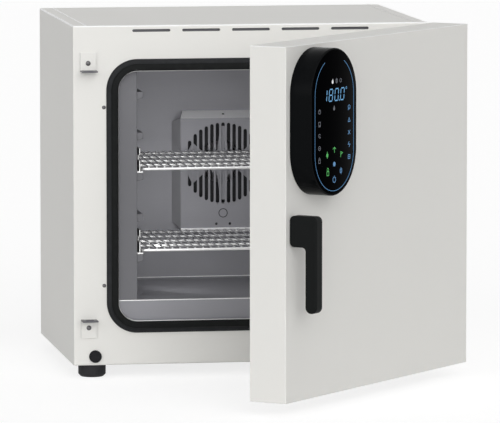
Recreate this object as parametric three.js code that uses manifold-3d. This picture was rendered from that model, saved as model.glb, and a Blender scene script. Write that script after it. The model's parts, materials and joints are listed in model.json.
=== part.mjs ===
// Drying cabinet: a heated steel cabinet with one side-hung door, wire shelves and a fan at the back.
// Millimetres, +Z up, the front faces -Y. The origin is the centre of the base pan's underside.
// The door stands open by its rest angle, as the cabinet is usually shown.
import * as THREE from 'three';
import { mergeVertices } from 'three/addons/utils/BufferGeometryUtils.js';
import Module from 'manifold-3d';

const wasm = await Module();
wasm.setup();

// Gaps between pieces, and how far a cutting shape runs past what it cuts
const seat = 0.3;
const running = 0.6;
const overrun = 6;

// Counts of straight steps that stand for round shapes
const cornerSteps = 5;
const smallCornerSteps = 3;
const rodSides = 12;
const wheelSides = 28;
const heaterSteps = 72;

// Cabinet body in sheet steel
const body = { width: 658, depth: 484, height: 625, sheet: 1.5, topFlange: 23, panFlange: 15 };
const vents = { count: 5, pitch: 92.2, length: 70.3, height: 5, fromTop: 10 };
const foot = {
  radius: 25.5, height: 24, chamfer: 5, fromSide: 38, fromFront: 35, rearFromSide: 54, fromRear: 40,
};
const stud = { radius: 3.5, rise: 9 };
const bead = { width: 5, depth: 0.6, besideFoot: 8 };
const louvre = { length: 120, height: 4, pitch: 12, count: 6, fromBottom: 130, offset: 150 };

// Distances from the outside of the body to the outside of the chamber liner, filled with glass wool
const jacket = { side: 82.6, top: 83.6, bottom: 80.6, rear: 83, rearWool: 39, topWool: 35 };

// Chamber
const liner = { sheet: 1.2, corner: 35.4, lip: 1 };
const gasket = { width: 21, depth: 11.2, band: 8.6, bandDepth: 5.5 };
const duct = { inset: 35.2, sheet: 1.2, fromFront: 8 };
const rib = { height: 15, depth: 12, pitch: 75, firstTop: 83.3, fromFront: 4, fromRear: 44 };
const floorPlate = { height: 36.5, sheet: 1.2, fromBaffle: 30 };
const floorWindow = { width: 80, height: 20, pitch: 130, rise: 6 };
const baffle = { sheet: 1.2, plenum: 37.8, windowRadius: 75 };
const cover = { width: 162.6, height: 208.8, slope: 11.5, depth: 36, sheet: 1.2, rise: 8.3 };
const slots = { perSide: 6, pitch: 10.65, width: 6.7, circle: 77.3, rise: 18.5 };

// Fan, motor and heating
const fan = { radius: 70, sheet: 1.5, hub: 26, hubDepth: 16, paddle: 20, fromCover: 5, paddleStart: 22 };
const fanArm = { flareAngle: 0.6, waistAngle: 0.35, tipWidth: 9, rootWidth: 26 };
const shaft = { radius: 5, hole: 8, motorGrip: 18 };
const motor = {
  radius: 41, length: 50, flange: 100, flangeSheet: 3, spacer: 5, spacerRadius: 5, spacerPitch: 84,
};
const heater = {
  radius: 4, runPitch: 100, runs: 4, fromFront: 45, fromFloorRear: 60, collar: 8, collarLength: 4,
};
const probe = { radius: 3, reach: 95, collar: 6, collarLength: 5, pitch: 22, fromSide: 75, fromTop: 75 };

// Exhaust, inlet and electronics
const exhaust = { radius: 26, wall: 2, standOut: 28, rim: 34, rimSheet: 2, fromSide: 179, fromTop: 62 };
const flap = { sheet: 1.5, stem: 2.5, below: 4, above: 12, fromEnd: 13 };
const knob = { radius: 9, height: 10, lift: 1 };
const inlet = {
  width: 48, height: 26, inside: 24, rim: 6, rimSheet: 3, recess: 16, wall: 4, fromSide: 99, z: 62,
};
const inletPin = { width: 2, height: 6, length: 12, pitch: 9 };
const tray = { sheet: 1.2, flange: 12 };
const board = {
  length: 200, width: 140, sheet: 1.6, standoff: 8, standoffRadius: 3, x: -130, y: 60, edge: 10,
};
const transformer = { length: 50, width: 42, height: 24 };
const capacitor = { radius: 9, height: 21, pitch: 24 };
const relay = { length: 44, width: 26, height: 18 };
const heatsink = { length: 84, width: 66, base: 4, fins: 8, finSheet: 2, finHeight: 22, x: 90, y: 60 };

// Shelves and the rails that carry them
const wire = { frame: 6, bar: 3, barSink: 1, barPitch: 14.8, crossBars: 5 };
const rail = {
  ledge: 3.6, web: 2.5, fromWall: 4.4, height: 45.6, notchFrom: 23.5, notchHeight: 9.2, notchDepth: 22,
};
const shelfPlace = { fromFront: 15, fromCover: 5, railFromFront: 13, railFromCover: 12 };

// Ribs left free above the upper shelf's rib and below the lower shelf's rib
const ribsAboveCount = 2;
const ribsBelowCount = 0;

// Latch strikes, their screws and the door stop on the front frame
const strike = { width: 29, sheet: 2.5, plate: 33.8, reach: 28, fromSide: 27.5, upper: 82.6, lower: 83.9 };
const strikeSlot = { width: 15, depth: 11, fromFrame: 18 };
const strikeScrew = { head: 4.6, headHeight: 2.6, shank: 2, fromFlange: 14 };
const doorStop = { radius: 11.5, height: 5, edge: 1.2, fromSide: 39.4, fromBottom: 16.4 };

// Door, sized over the body and the gasket gap
const door = {
  overhang: 1, thickness: 72.8, gap: 12, sheet: 1.5, innerSheet: 1.2, latchSpace: 50, openDegrees: 50,
};
const pivot = { out: 9, forward: 7 };
const hinge = {
  knuckle: 7, leaf: 3, height: 80, pin: 3, headRadius: 5, head: 2, bodyLeaf: 50, doorLeaf: 63, fromEnd: 100,
};

// Control pod on the door
const pod = { width: 160.5, height: 259, depth: 42.5, wall: 2.5, glass: 3, fromTop: 6, fromEdge: 13.2 };
const podBoard = { sheet: 1.6, margin: 12, behindGlass: 6, postRadius: 3, postInset: 30 };
const displayBlock = { width: 84, height: 46, depth: 4, fromTop: 60 };

// Handle, latch pinion and bolt rods
const handle = {
  width: 21, neck: 55, reach: 55.3, length: 170, gripDepth: 23.4, corner: 8, lift: 0.5, bore: 20,
};
const handlePlace = { fromEdge: 22, underPod: 30 };
const spindle = { radius: 6 };
const pinion = { pitchRadius: 10, teeth: 12, addendum: 1.1, dedendum: 1.5, width: 6 };
const toothRootShare = 0.52;
const toothTipShare = 0.2;
const rod = {
  width: 8, tail: 24, crosspiece: 8, pin: 4, pinLength: 20, pinReach: 4.5, tipGap: 3, turn: Math.PI / 2,
};

// Places worked out from the sizes above
const frontY = -body.depth / 2;
const backY = body.depth / 2;
const halfWidth = body.width / 2;
const sheetInside = halfWidth - body.sheet - seat;
const skinFront = frontY + body.sheet + seat;
const skinBack = backY - body.sheet - seat;

const linerHalf = halfWidth - jacket.side;
const linerTop = body.height - jacket.top;
const linerBottom = jacket.bottom;
const linerBack = backY - jacket.rear;
const chamberHalf = linerHalf - liner.sheet;
const chamberTop = linerTop - liner.sheet;
const chamberBottom = linerBottom + liner.sheet;
const chamberBack = linerBack - liner.sheet;
const chamberCorner = liner.corner - liner.sheet;
const chamberMiddle = (chamberTop + chamberBottom) / 2;

const ductFront = frontY + duct.fromFront;
const clearHalf = chamberHalf - duct.inset;
const floorTop = chamberBottom + floorPlate.height;
const baffleY = chamberBack - baffle.plenum;
const floorRear = baffleY - floorPlate.fromBaffle;
const coverMiddle = chamberMiddle + cover.rise;
const coverFace = baffleY - cover.depth;
const fanZ = coverMiddle + slots.rise;
const fanFront = coverFace + cover.sheet + fan.fromCover;
const trayZ = linerTop + jacket.topWool + seat;
const exhaustX = -halfWidth + exhaust.fromSide;
const inletX = halfWidth - inlet.fromSide;

const strikeX = -halfWidth + strike.fromSide;
const upperStrikeZ = body.height - strike.upper;
const lowerStrikeZ = strike.lower;
const ribCount = Math.floor((chamberTop - floorTop - rib.firstTop) / rib.pitch) + 1;
const upperRib = ribCount - 1 - ribsAboveCount;
const lowerRib = ribsBelowCount;

const doorHalf = halfWidth + door.overhang;
const doorInner = frontY - door.gap;
const doorOuter = doorInner - door.thickness;
const podX = -doorHalf + pod.fromEdge + pod.width / 2;
const podTop = body.height - pod.fromTop;
const podBottom = podTop - pod.height;
const handleX = -doorHalf + handlePlace.fromEdge;
const handleZ = podBottom - handlePlace.underPod - handle.neck / 2;
const latchY = frontY - strikeSlot.fromFrame;

// Finishes: colour, roughness and metalness
const finishes = {
  whiteCoat: [0xe4e3de, 0.45, 0],
  stainless: [0x8f8f92, 0.38, 1],
  brightWire: [0xc9c9c6, 0.25, 1],
  blackRubber: [0x1d1e1e, 0.75, 0],
  blackGloss: [0x0a0b0d, 0.12, 0],
  blackMatt: [0x17181a, 0.5, 0],
  zinc: [0xb4b6b8, 0.4, 1],
  glassWool: [0xd9cfa4, 0.95, 0],
  circuitGreen: [0x23583a, 0.6, 0],
  motorGrey: [0x55585c, 0.5, 0.6],
};

// Outlines as lists of points
const quarter = Math.PI / 2;
const samePlace = 1e-5;

function arc(x, y, radius, from, to, steps) {
  return Array.from({ length: steps + 1 }, (_, i) => {
    const angle = from + ((to - from) * i) / steps;
    return new THREE.Vector2(x + radius * Math.cos(angle), y + radius * Math.sin(angle));
  });
}

function distinct(points) {
  return points.filter((p, i) => p.distanceTo(points[(i + points.length - 1) % points.length]) > samePlace);
}

function rectangle(x0, x1, y0, y1) {
  return [[x0, y0], [x1, y0], [x1, y1], [x0, y1]].map(([x, y]) => new THREE.Vector2(x, y));
}

function roundedRectangle(x0, x1, y0, y1, radius, steps = cornerSteps) {
  const r = Math.min(radius, (x1 - x0) / 2, (y1 - y0) / 2);
  return distinct([
    ...arc(x1 - r, y0 + r, r, -quarter, 0, steps),
    ...arc(x1 - r, y1 - r, r, 0, quarter, steps),
    ...arc(x0 + r, y1 - r, r, quarter, 2 * quarter, steps),
    ...arc(x0 + r, y0 + r, r, 2 * quarter, 3 * quarter, steps),
  ]);
}

// An outline of right-angled corners, each given as x, y and its rounding
function roundedOutline(corners, steps = smallCornerSteps) {
  const at = (i) => new THREE.Vector2(...corners[(i + corners.length) % corners.length]);
  const points = corners.flatMap(([, , radius], i) => {
    if (!radius) return [at(i)];
    const start = at(i).add(at(i - 1).sub(at(i)).setLength(radius));
    const end = at(i).add(at(i + 1).sub(at(i)).setLength(radius));
    const bend = new THREE.QuadraticBezierCurve(start, at(i), end);
    return bend.getPoints(steps);
  });
  return distinct(points);
}

// Solids
const xAxis = new THREE.Vector3(1, 0, 0);
const yAxis = new THREE.Vector3(0, 1, 0);
const zAxis = new THREE.Vector3(0, 0, 1);
const turned = {
  x: new THREE.Matrix4().makeBasis(yAxis, zAxis, xAxis),
  y: new THREE.Matrix4().makeBasis(xAxis, zAxis, yAxis.clone().negate()),
  z: new THREE.Matrix4(),
};

function solid(geometry) {
  const bare = geometry.clone();
  bare.deleteAttribute('normal');
  bare.deleteAttribute('uv');
  const merged = mergeVertices(bare);
  const mesh = new wasm.Mesh({
    numProp: 3,
    vertProperties: Float32Array.from(merged.getAttribute('position').array),
    triVerts: Uint32Array.from(merged.getIndex().array),
  });
  return new wasm.Manifold(mesh);
}

function geometryOf(shape) {
  const mesh = shape.getMesh();
  const geometry = new THREE.BufferGeometry();
  geometry.setAttribute('position', new THREE.BufferAttribute(Float32Array.from(mesh.vertProperties), 3));
  geometry.setIndex(new THREE.BufferAttribute(Uint32Array.from(mesh.triVerts), 1));
  geometry.computeVertexNormals();
  return geometry;
}

function join(first, ...others) {
  return others.reduce((sum, other) => sum.add(other), first);
}

function cut(first, ...tools) {
  return tools.reduce((rest, tool) => rest.subtract(tool), first);
}

function box(x0, x1, y0, y1, z0, z1) {
  const geometry = new THREE.BoxGeometry(x1 - x0, y1 - y0, z1 - z0);
  geometry.translate((x0 + x1) / 2, (y0 + y1) / 2, (z0 + z1) / 2);
  return solid(geometry);
}

// A prism along an axis. Its outline is in (y, z) for X, (x, z) for Y and (x, y) for Z.
function prism(axis, points, from, to, holes = []) {
  const shape = new THREE.Shape(points);
  shape.holes = holes.map((hole) => new THREE.Path(hole));
  const geometry = new THREE.ExtrudeGeometry(shape, { depth: to - from, bevelEnabled: false, steps: 1 });
  geometry.translate(0, 0, axis === 'y' ? -to : from);
  geometry.applyMatrix4(turned[axis]);
  return solid(geometry);
}

// A round bar along an axis, centred at (y, z) for X, (x, z) for Y and (x, y) for Z
function bar(axis, a, b, radius, from, to, sides = rodSides) {
  const points = arc(a, b, radius, 0, 4 * quarter, sides).slice(1);
  return prism(axis, points, from, to);
}

// A turned piece along Z from (radius, height) pairs that start and end on the axis
function turnedPiece(profile, x, y, z, sides = wheelSides) {
  const points = profile.map(([radius, height]) => new THREE.Vector2(radius, height));
  const geometry = new THREE.LatheGeometry(points, sides);
  geometry.rotateX(quarter);
  geometry.translate(x, y, z);
  return solid(geometry);
}

// A box whose back and front rectangles differ, for the sloped sides of the fan cover
function taperedBox(backHalfX, backHalfZ, backY, frontHalfX, frontHalfZ, frontY, middleZ) {
  const ring = (halfX, y, halfZ) => [
    [-halfX, y, middleZ - halfZ], [halfX, y, middleZ - halfZ],
    [halfX, y, middleZ + halfZ], [-halfX, y, middleZ + halfZ],
  ];
  const corners = [...ring(frontHalfX, frontY, frontHalfZ), ...ring(backHalfX, backY, backHalfZ)];
  const faces = [[0, 1, 2], [0, 2, 3], [5, 4, 7], [5, 7, 6]];
  for (let i = 0; i < 4; i += 1) {
    const next = (i + 1) % 4;
    faces.push([i, i + 4, next + 4], [i, next + 4, next]);
  }
  const geometry = new THREE.BufferGeometry();
  geometry.setAttribute('position', new THREE.Float32BufferAttribute(corners.flat(), 3));
  geometry.setIndex(faces.flat());
  return solid(geometry);
}

// The scene graph
const cabinet = new THREE.Group();
const doorGroup = new THREE.Group();
const hingeX = halfWidth + pivot.out;
const hingeY = frontY - pivot.forward;
doorGroup.position.set(hingeX, hingeY, 0);
doorGroup.rotation.z = THREE.MathUtils.degToRad(door.openDegrees);
cabinet.add(doorGroup);

function piece(name, shape, finish, parent = cabinet) {
  const [color, roughness, metalness] = finishes[finish];
  const material = new THREE.MeshStandardMaterial({ color, roughness, metalness });
  const mesh = new THREE.Mesh(geometryOf(shape), material);
  mesh.name = name;
  parent.add(mesh);
}

// A piece of the door, given where it lies with the door closed
function doorPiece(name, shape, finish) {
  piece(name, shape.translate([-hingeX, -hingeY, 0]), finish, doorGroup);
}

// Space inside the liner, drawn in by a gap, which trims what is fitted into it
function insideLiner(gap, from, to) {
  const outline = roundedRectangle(
    -chamberHalf + gap, chamberHalf - gap, chamberBottom + gap, chamberTop - gap, chamberCorner - gap);
  return prism('y', outline, from, to);
}

// Casing
function footPlaces() {
  const x = halfWidth - foot.fromSide;
  const rearX = halfWidth - foot.rearFromSide;
  const front = frontY + foot.fromFront;
  const rear = backY - foot.fromRear;
  return {
    front_left_foot: [-x, front], front_right_foot: [x, front],
    rear_left_foot: [-rearX, rear], rear_right_foot: [rearX, rear],
  };
}

function basePan() {
  const outline = [
    [-sheetInside, 0], [sheetInside, 0], [sheetInside, body.panFlange],
    [sheetInside - body.sheet, body.panFlange], [sheetInside - body.sheet, body.sheet],
    [-sheetInside + body.sheet, body.sheet], [-sheetInside + body.sheet, body.panFlange],
    [-sheetInside, body.panFlange],
  ].map(([x, z]) => new THREE.Vector2(x, z));
  const holes = Object.values(footPlaces()).map(([x, y]) =>
    bar('z', x, y, stud.radius + running, -overrun, body.sheet + overrun));
  return cut(prism('y', outline, skinFront, skinBack), stiffeningBead(), ...holes);
}

// A shallow groove pressed into the pan's underside, inside the feet
function stiffeningBead() {
  const side = halfWidth - foot.rearFromSide - foot.radius - bead.besideFoot;
  const front = frontY + foot.fromFront + foot.radius + bead.besideFoot;
  const rear = backY - foot.fromRear - foot.radius - bead.besideFoot;
  const inner = rectangle(
    -side + bead.width, side - bead.width, front + bead.width, rear - bead.width);
  return prism('z', rectangle(-side, side, front, rear), -overrun, bead.depth, [inner]);
}

function sidePanel(side) {
  const outline = [
    [-halfWidth, 0], [-halfWidth + body.sheet, 0], [-halfWidth + body.sheet, body.height - body.sheet],
    [-halfWidth + body.topFlange, body.height - body.sheet], [-halfWidth + body.topFlange, body.height],
    [-halfWidth, body.height],
  ].map(([x, z]) => new THREE.Vector2(-side * x, z));
  return prism('y', outline, skinFront, skinBack);
}

function topCover() {
  const half = halfWidth - body.topFlange - seat;
  const low = body.height - tray.flange;
  const outline = [
    [-half, low], [-half + body.sheet, low], [-half + body.sheet, body.height - body.sheet],
    [half - body.sheet, body.height - body.sheet], [half - body.sheet, low], [half, low],
    [half, body.height], [-half, body.height],
  ].map(([x, z]) => new THREE.Vector2(x, z));
  return prism('y', outline, skinFront, skinBack);
}

function ventSlots() {
  const z = body.height - vents.fromTop;
  return Array.from({ length: vents.count }, (_, i) => {
    const x = (i - (vents.count - 1) / 2) * vents.pitch;
    return roundedRectangle(
      x - vents.length / 2, x + vents.length / 2, z - vents.height / 2, z + vents.height / 2,
      vents.height / 2, smallCornerSteps);
  });
}

function frontFrame() {
  const gap = running;
  const opening = roundedRectangle(
    -linerHalf - gap, linerHalf + gap, linerBottom - gap, linerTop + gap, liner.corner + gap);
  const screwHoles = strikeScrewPlaces().map((z) =>
    arc(strikeX, z, strikeScrew.shank + seat, 0, 4 * quarter, rodSides).slice(1));
  return prism('y', rectangle(-halfWidth, halfWidth, 0, body.height), frontY, frontY + body.sheet,
    [opening, ...ventSlots(), ...screwHoles]);
}

function rearCover() {
  const plate = box(-halfWidth, halfWidth, backY - body.sheet, backY, 0, body.height);
  const slits = [];
  for (const side of [-1, 1]) {
    for (let i = 0; i < louvre.count; i += 1) {
      const x = side * louvre.offset;
      const z = louvre.fromBottom + i * louvre.pitch;
      slits.push(box(x - louvre.length / 2, x + louvre.length / 2,
        backY - body.sheet - overrun, backY + overrun,
        z, z + louvre.height));
    }
  }
  const pipeHole = bar('y', exhaustX, exhaustZ(), exhaust.radius + running,
    backY - body.sheet - overrun, backY + overrun, wheelSides);
  const inletHole = box(
    inletX - inlet.width / 2 - running, inletX + inlet.width / 2 + running,
    backY - body.sheet - overrun, backY + overrun,
    inlet.z - inlet.height / 2 - running, inlet.z + inlet.height / 2 + running);
  return cut(plate, ...slits, pipeHole, inletHole);
}

function footPiece(x, y) {
  const face = -foot.height;
  return turnedPiece([
    [0, face], [foot.radius - foot.chamfer, face], [foot.radius, face + foot.chamfer], [foot.radius, -seat],
    [stud.radius, -seat], [stud.radius, stud.rise], [0, stud.rise],
  ], x, y, 0);
}

// Chamber
function gasketRing() {
  const inner = linerHalf + running;
  const ring = (width, from, to) => {
    const outline = (grow) => roundedRectangle(
      -inner - grow, inner + grow, linerBottom - running - grow, linerTop + running + grow,
      liner.corner + running + grow);
    return prism('y', outline(width), from, to, [outline(0)]);
  };
  const seatY = frontY - seat;
  return join(
    ring(gasket.width, seatY - gasket.bandDepth, seatY),
    ring(gasket.width - gasket.band, seatY - gasket.depth, seatY));
}

function chamberLiner() {
  const front = frontY - liner.lip;
  const outline = roundedRectangle(-linerHalf, linerHalf, linerBottom, linerTop, liner.corner);
  const through = (x, z, radius) => bar('y', x, z, radius, chamberBack - overrun, linerBack + overrun);
  return cut(
    prism('y', outline, front, linerBack),
    insideLiner(0, front - overrun, chamberBack),
    through(0, fanZ, shaft.hole),
    through(exhaustX, exhaustZ(), exhaust.radius - exhaust.wall),
    ...heaterEnds().map((x) => through(x, heaterZ(), heater.radius + running)),
    ...probePlaces().map((x) => through(x, probeZ(), probe.radius + running)));
}

// The wall plate with its front flange and pressed ribs. Side is -1 on the left and 1 on the right.
function airDuct(side) {
  const bottom = floorTop + seat;
  const wallX = clearHalf + duct.sheet;
  const flange = box(clearHalf, chamberHalf, ductFront, ductFront + duct.sheet, bottom, chamberTop);
  const wall = box(clearHalf, wallX, ductFront, baffleY - seat, bottom, chamberTop);
  const trimmed = join(flange, wall).intersect(insideLiner(seat, frontY, chamberBack));
  const ribs = Array.from({ length: ribCount }, (_, i) => {
    const top = ribTop(i);
    const half = rib.height / 2;
    const outline = [
      [wallX - duct.sheet / 2, top - rib.height], [clearHalf - rib.depth, top - half - rib.height / 4],
      [clearHalf - rib.depth, top], [wallX - duct.sheet / 2, top],
    ].map(([x, z]) => new THREE.Vector2(x, z));
    return prism('y', outline, ductFront + rib.fromFront, baffleY - rib.fromRear);
  });
  const right = join(trimmed, ...ribs);
  return side > 0 ? right : right.mirror([1, 0, 0]);
}

function ribTop(i) {
  return floorTop + rib.firstTop + i * rib.pitch;
}

function windowRow(from, to) {
  return [-1, 0, 1].map((i) => {
    const x = i * floorWindow.pitch;
    const z = chamberBottom + floorWindow.rise;
    return box(x - floorWindow.width / 2, x + floorWindow.width / 2, from, to, z, z + floorWindow.height);
  });
}

function floorPiece() {
  const low = chamberBottom + seat;
  const outline = [
    [ductFront, low], [ductFront + floorPlate.sheet, low],
    [ductFront + floorPlate.sheet, floorTop - floorPlate.sheet],
    [floorRear - floorPlate.sheet, floorTop - floorPlate.sheet], [floorRear - floorPlate.sheet, low],
    [floorRear, low], [floorRear, floorTop], [ductFront, floorTop],
  ].map(([y, z]) => new THREE.Vector2(y, z));
  return cut(
    prism('x', outline, -chamberHalf, chamberHalf).intersect(insideLiner(seat, frontY, chamberBack)),
    ...windowRow(floorRear - floorPlate.sheet - overrun, floorRear + overrun));
}

function rearBaffle() {
  const low = chamberBottom + seat;
  const high = chamberTop - seat;
  const back = chamberBack - seat;
  const outline = [
    [baffleY, low], [back, low], [back, low + baffle.sheet], [baffleY + baffle.sheet, low + baffle.sheet],
    [baffleY + baffle.sheet, high - baffle.sheet], [back, high - baffle.sheet],
    [back, high], [baffleY, high],
  ].map(([y, z]) => new THREE.Vector2(y, z));
  const half = clearHalf + duct.sheet;
  const past = baffleY + baffle.sheet + overrun;
  return cut(
    prism('x', outline, -half, half),
    bar('y', 0, fanZ, baffle.windowRadius, baffleY - overrun, past, wheelSides),
    ...windowRow(baffleY - overrun, past),
    ...probePlaces().map((x) => bar('y', x, probeZ(), probe.radius + running, baffleY - overrun, past)));
}

function fanCover() {
  const halfX = cover.width / 2;
  const halfZ = cover.height / 2;
  const back = baffleY - seat;
  const shell = cut(
    taperedBox(halfX + cover.slope, halfZ + cover.slope, back, halfX, halfZ, coverFace, coverMiddle),
    taperedBox(
      halfX + cover.slope - cover.sheet, halfZ + cover.slope - cover.sheet, back + samePlace,
      halfX - cover.sheet, halfZ - cover.sheet, coverFace + cover.sheet, coverMiddle));
  const tools = [];
  for (let i = -slots.perSide; i <= slots.perSide; i += 1) {
    const x = i * slots.pitch;
    const half = Math.sqrt(slots.circle ** 2 - x ** 2);
    tools.push(prism('y', roundedRectangle(
      x - slots.width / 2, x + slots.width / 2, fanZ - half, fanZ + half, slots.width / 2, 2),
    coverFace - overrun, coverFace + cover.sheet + seat));
  }
  return cut(shell, ...tools);
}

// Fan
function fanImpeller() {
  const back = fanFront + fan.sheet;
  const flared = (side) => {
    const middle = side > 0 ? 0 : 2 * quarter;
    return [
      ...arc(0, fanZ, fan.hub, middle + fanArm.waistAngle, middle - fanArm.waistAngle, smallCornerSteps),
      ...arc(0, fanZ, fan.radius, middle - fanArm.flareAngle, middle + fanArm.flareAngle, cornerSteps),
    ].reverse();
  };
  const upright = (side) => [
    [-side * fanArm.rootWidth / 2, fanZ], [side * fanArm.rootWidth / 2, fanZ],
    [side * fanArm.tipWidth / 2, fanZ + side * fan.radius],
    [-side * fanArm.tipWidth / 2, fanZ + side * fan.radius],
  ].map(([x, z]) => new THREE.Vector2(x, z));
  const arms = [
    prism('y', flared(1), fanFront, back), prism('y', flared(-1), fanFront, back),
    prism('y', upright(1), fanFront, back), prism('y', upright(-1), fanFront, back),
  ];
  const paddles = [fanArm.flareAngle / 2, -fanArm.flareAngle / 2, quarter].flatMap((angle) =>
    [angle, angle + 2 * quarter].map((turn) =>
      box(fan.paddleStart, fan.radius - fan.sheet, back - fan.sheet / 2, back + fan.paddle,
        -fan.sheet / 2, fan.sheet / 2)
        .rotate([0, -THREE.MathUtils.radToDeg(turn), 0]).translate([0, 0, fanZ])));
  const hub = bar('y', 0, fanZ, fan.hub, fanFront, back + fan.hubDepth, wheelSides);
  const bore = bar('y', 0, fanZ, shaft.radius + seat, fanFront + fan.sheet, back + fan.hubDepth + overrun);
  return cut(join(hub, ...arms, ...paddles), bore);
}

function motorFront() {
  return linerBack + seat + motor.spacer;
}

function fanShaft() {
  return bar('y', 0, fanZ, shaft.radius, fanFront + fan.sheet + seat, motorFront() + shaft.motorGrip);
}

function fanMotor() {
  const front = motorFront();
  const half = motor.flange / 2;
  const flangeBack = front + motor.flangeSheet;
  const spacers = [-1, 1].flatMap((i) => [-1, 1].map((k) =>
    bar('y', (i * motor.spacerPitch) / 2, fanZ + (k * motor.spacerPitch) / 2, motor.spacerRadius,
      linerBack + seat, flangeBack)));
  const casing = bar('y', 0, fanZ, motor.radius, front, flangeBack + motor.length, wheelSides);
  const flange = prism('y', roundedRectangle(-half, half, fanZ - half, fanZ + half, motor.spacerRadius),
    front, flangeBack);
  const bore = bar('y', 0, fanZ, shaft.radius + running, front - overrun, front + shaft.motorGrip + running);
  return cut(join(casing, flange, ...spacers), bore);
}

// Heating and sensing
function heaterZ() {
  return chamberBottom + floorWindow.rise + floorWindow.height / 2;
}

function heaterEnds() {
  const reach = ((heater.runs - 1) * heater.runPitch) / 2;
  return [-reach, reach];
}

function heatingElement() {
  const bend = heater.runPitch / 2;
  const near = ductFront + heater.fromFront + bend;
  const far = floorRear - heater.fromFloorRear - bend;
  const z = heaterZ();
  const [first, last] = heaterEnds();
  const points = [new THREE.Vector3(first, linerBack, z), new THREE.Vector3(first, floorRear, z)];
  for (let run = 0; run < heater.runs - 1; run += 1) {
    const middle = first + (run + 1 / 2) * heater.runPitch;
    const forward = run % 2 === 0;
    const turnEnd = forward ? 4 * quarter : 0;
    const turn = arc(middle, forward ? near : far, bend, 2 * quarter, turnEnd, cornerSteps);
    points.push(...turn.map((p) => new THREE.Vector3(p.x, p.y, z)));
  }
  points.push(new THREE.Vector3(last, floorRear, z), new THREE.Vector3(last, linerBack, z));
  const path = new THREE.CurvePath();
  points.slice(1).forEach((p, i) => path.add(new THREE.LineCurve3(points[i], p)));
  const sides = 6;
  const section = new THREE.Shape(arc(0, 0, heater.radius, 0, 4 * quarter, sides).slice(1));
  const settings = { steps: heaterSteps, bevelEnabled: false, extrudePath: path };
  const tube = solid(new THREE.ExtrudeGeometry(section, settings));
  const collars = heaterEnds().map((x) => bar('y', x, z, heater.collar,
    chamberBack - seat - heater.collarLength, chamberBack - seat));
  return join(tube, ...collars);
}

function probePlaces() {
  const x = clearHalf - probe.fromSide;
  return [x, x + probe.pitch];
}

function probeZ() {
  return chamberTop - probe.fromTop;
}

function probePiece(x, share) {
  const z = probeZ();
  return join(
    bar('y', x, z, probe.radius, chamberBack - probe.reach * share, linerBack),
    bar('y', x, z, probe.collar, baffleY - seat - probe.collarLength, baffleY - seat));
}

// Exhaust, inlet and electronics
function exhaustZ() {
  return chamberTop - exhaust.fromTop;
}

function flapY() {
  return backY + exhaust.standOut - flap.fromEnd;
}

function exhaustPipe() {
  const x = exhaustX;
  const z = exhaustZ();
  const end = backY + exhaust.standOut;
  return cut(
    join(
      bar('y', x, z, exhaust.radius, linerBack + seat, end, wheelSides),
      bar('y', x, z, exhaust.rim, backY + seat, backY + seat + exhaust.rimSheet, wheelSides)),
    bar('y', x, z, exhaust.radius - exhaust.wall, linerBack - overrun, end + overrun, wheelSides),
    bar('z', x, flapY(), flap.stem + seat, z - exhaust.radius - overrun, z + exhaust.radius + overrun));
}

function exhaustFlap() {
  const x = exhaustX;
  const z = exhaustZ();
  const y = flapY();
  return join(
    bar('y', x, z, exhaust.radius - exhaust.wall - running,
      y - flap.sheet / 2, y + flap.sheet / 2, wheelSides),
    bar('z', x, y, flap.stem, z - exhaust.radius - flap.below, z + exhaust.radius + flap.above));
}

function flapKnob() {
  const x = exhaustX;
  const low = exhaustZ() + exhaust.radius + knob.lift;
  const y = flapY();
  return cut(
    bar('z', x, y, knob.radius, low, low + flap.above + knob.height / 2, wheelSides / 2),
    bar('z', x, y, flap.stem + seat, low - overrun, exhaustZ() + exhaust.radius + flap.above + seat));
}

function mainsInlet() {
  const x = inletX;
  const halfX = inlet.width / 2;
  const halfZ = inlet.height / 2;
  const face = backY + seat + inlet.rimSheet;
  const block = join(
    box(x - halfX, x + halfX, backY - inlet.inside, backY + inlet.rimSheet,
      inlet.z - halfZ, inlet.z + halfZ),
    prism('y', roundedRectangle(x - halfX - inlet.rim, x + halfX + inlet.rim,
      inlet.z - halfZ - inlet.rim, inlet.z + halfZ + inlet.rim, inlet.rim), backY + seat, face));
  const recess = box(x - halfX + inlet.wall, x + halfX - inlet.wall, face - inlet.recess, face + overrun,
    inlet.z - halfZ + inlet.wall, inlet.z + halfZ - inlet.wall);
  const pins = [-1, 0, 1].map((i) => box(
    x + i * inletPin.pitch - inletPin.width / 2, x + i * inletPin.pitch + inletPin.width / 2,
    face - inlet.recess - inletPin.width, face - inlet.recess + inletPin.length,
    inlet.z - inletPin.height / 2, inlet.z + inletPin.height / 2));
  return join(cut(block, recess), ...pins);
}

function electronicsTray() {
  const low = trayZ;
  const outline = [
    [-sheetInside, low], [sheetInside, low], [sheetInside, low + tray.flange],
    [sheetInside - tray.sheet, low + tray.flange], [sheetInside - tray.sheet, low + tray.sheet],
    [-sheetInside + tray.sheet, low + tray.sheet], [-sheetInside + tray.sheet, low + tray.flange],
    [-sheetInside, low + tray.flange],
  ].map(([x, z]) => new THREE.Vector2(x, z));
  return prism('y', outline, skinFront, skinBack);
}

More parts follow.
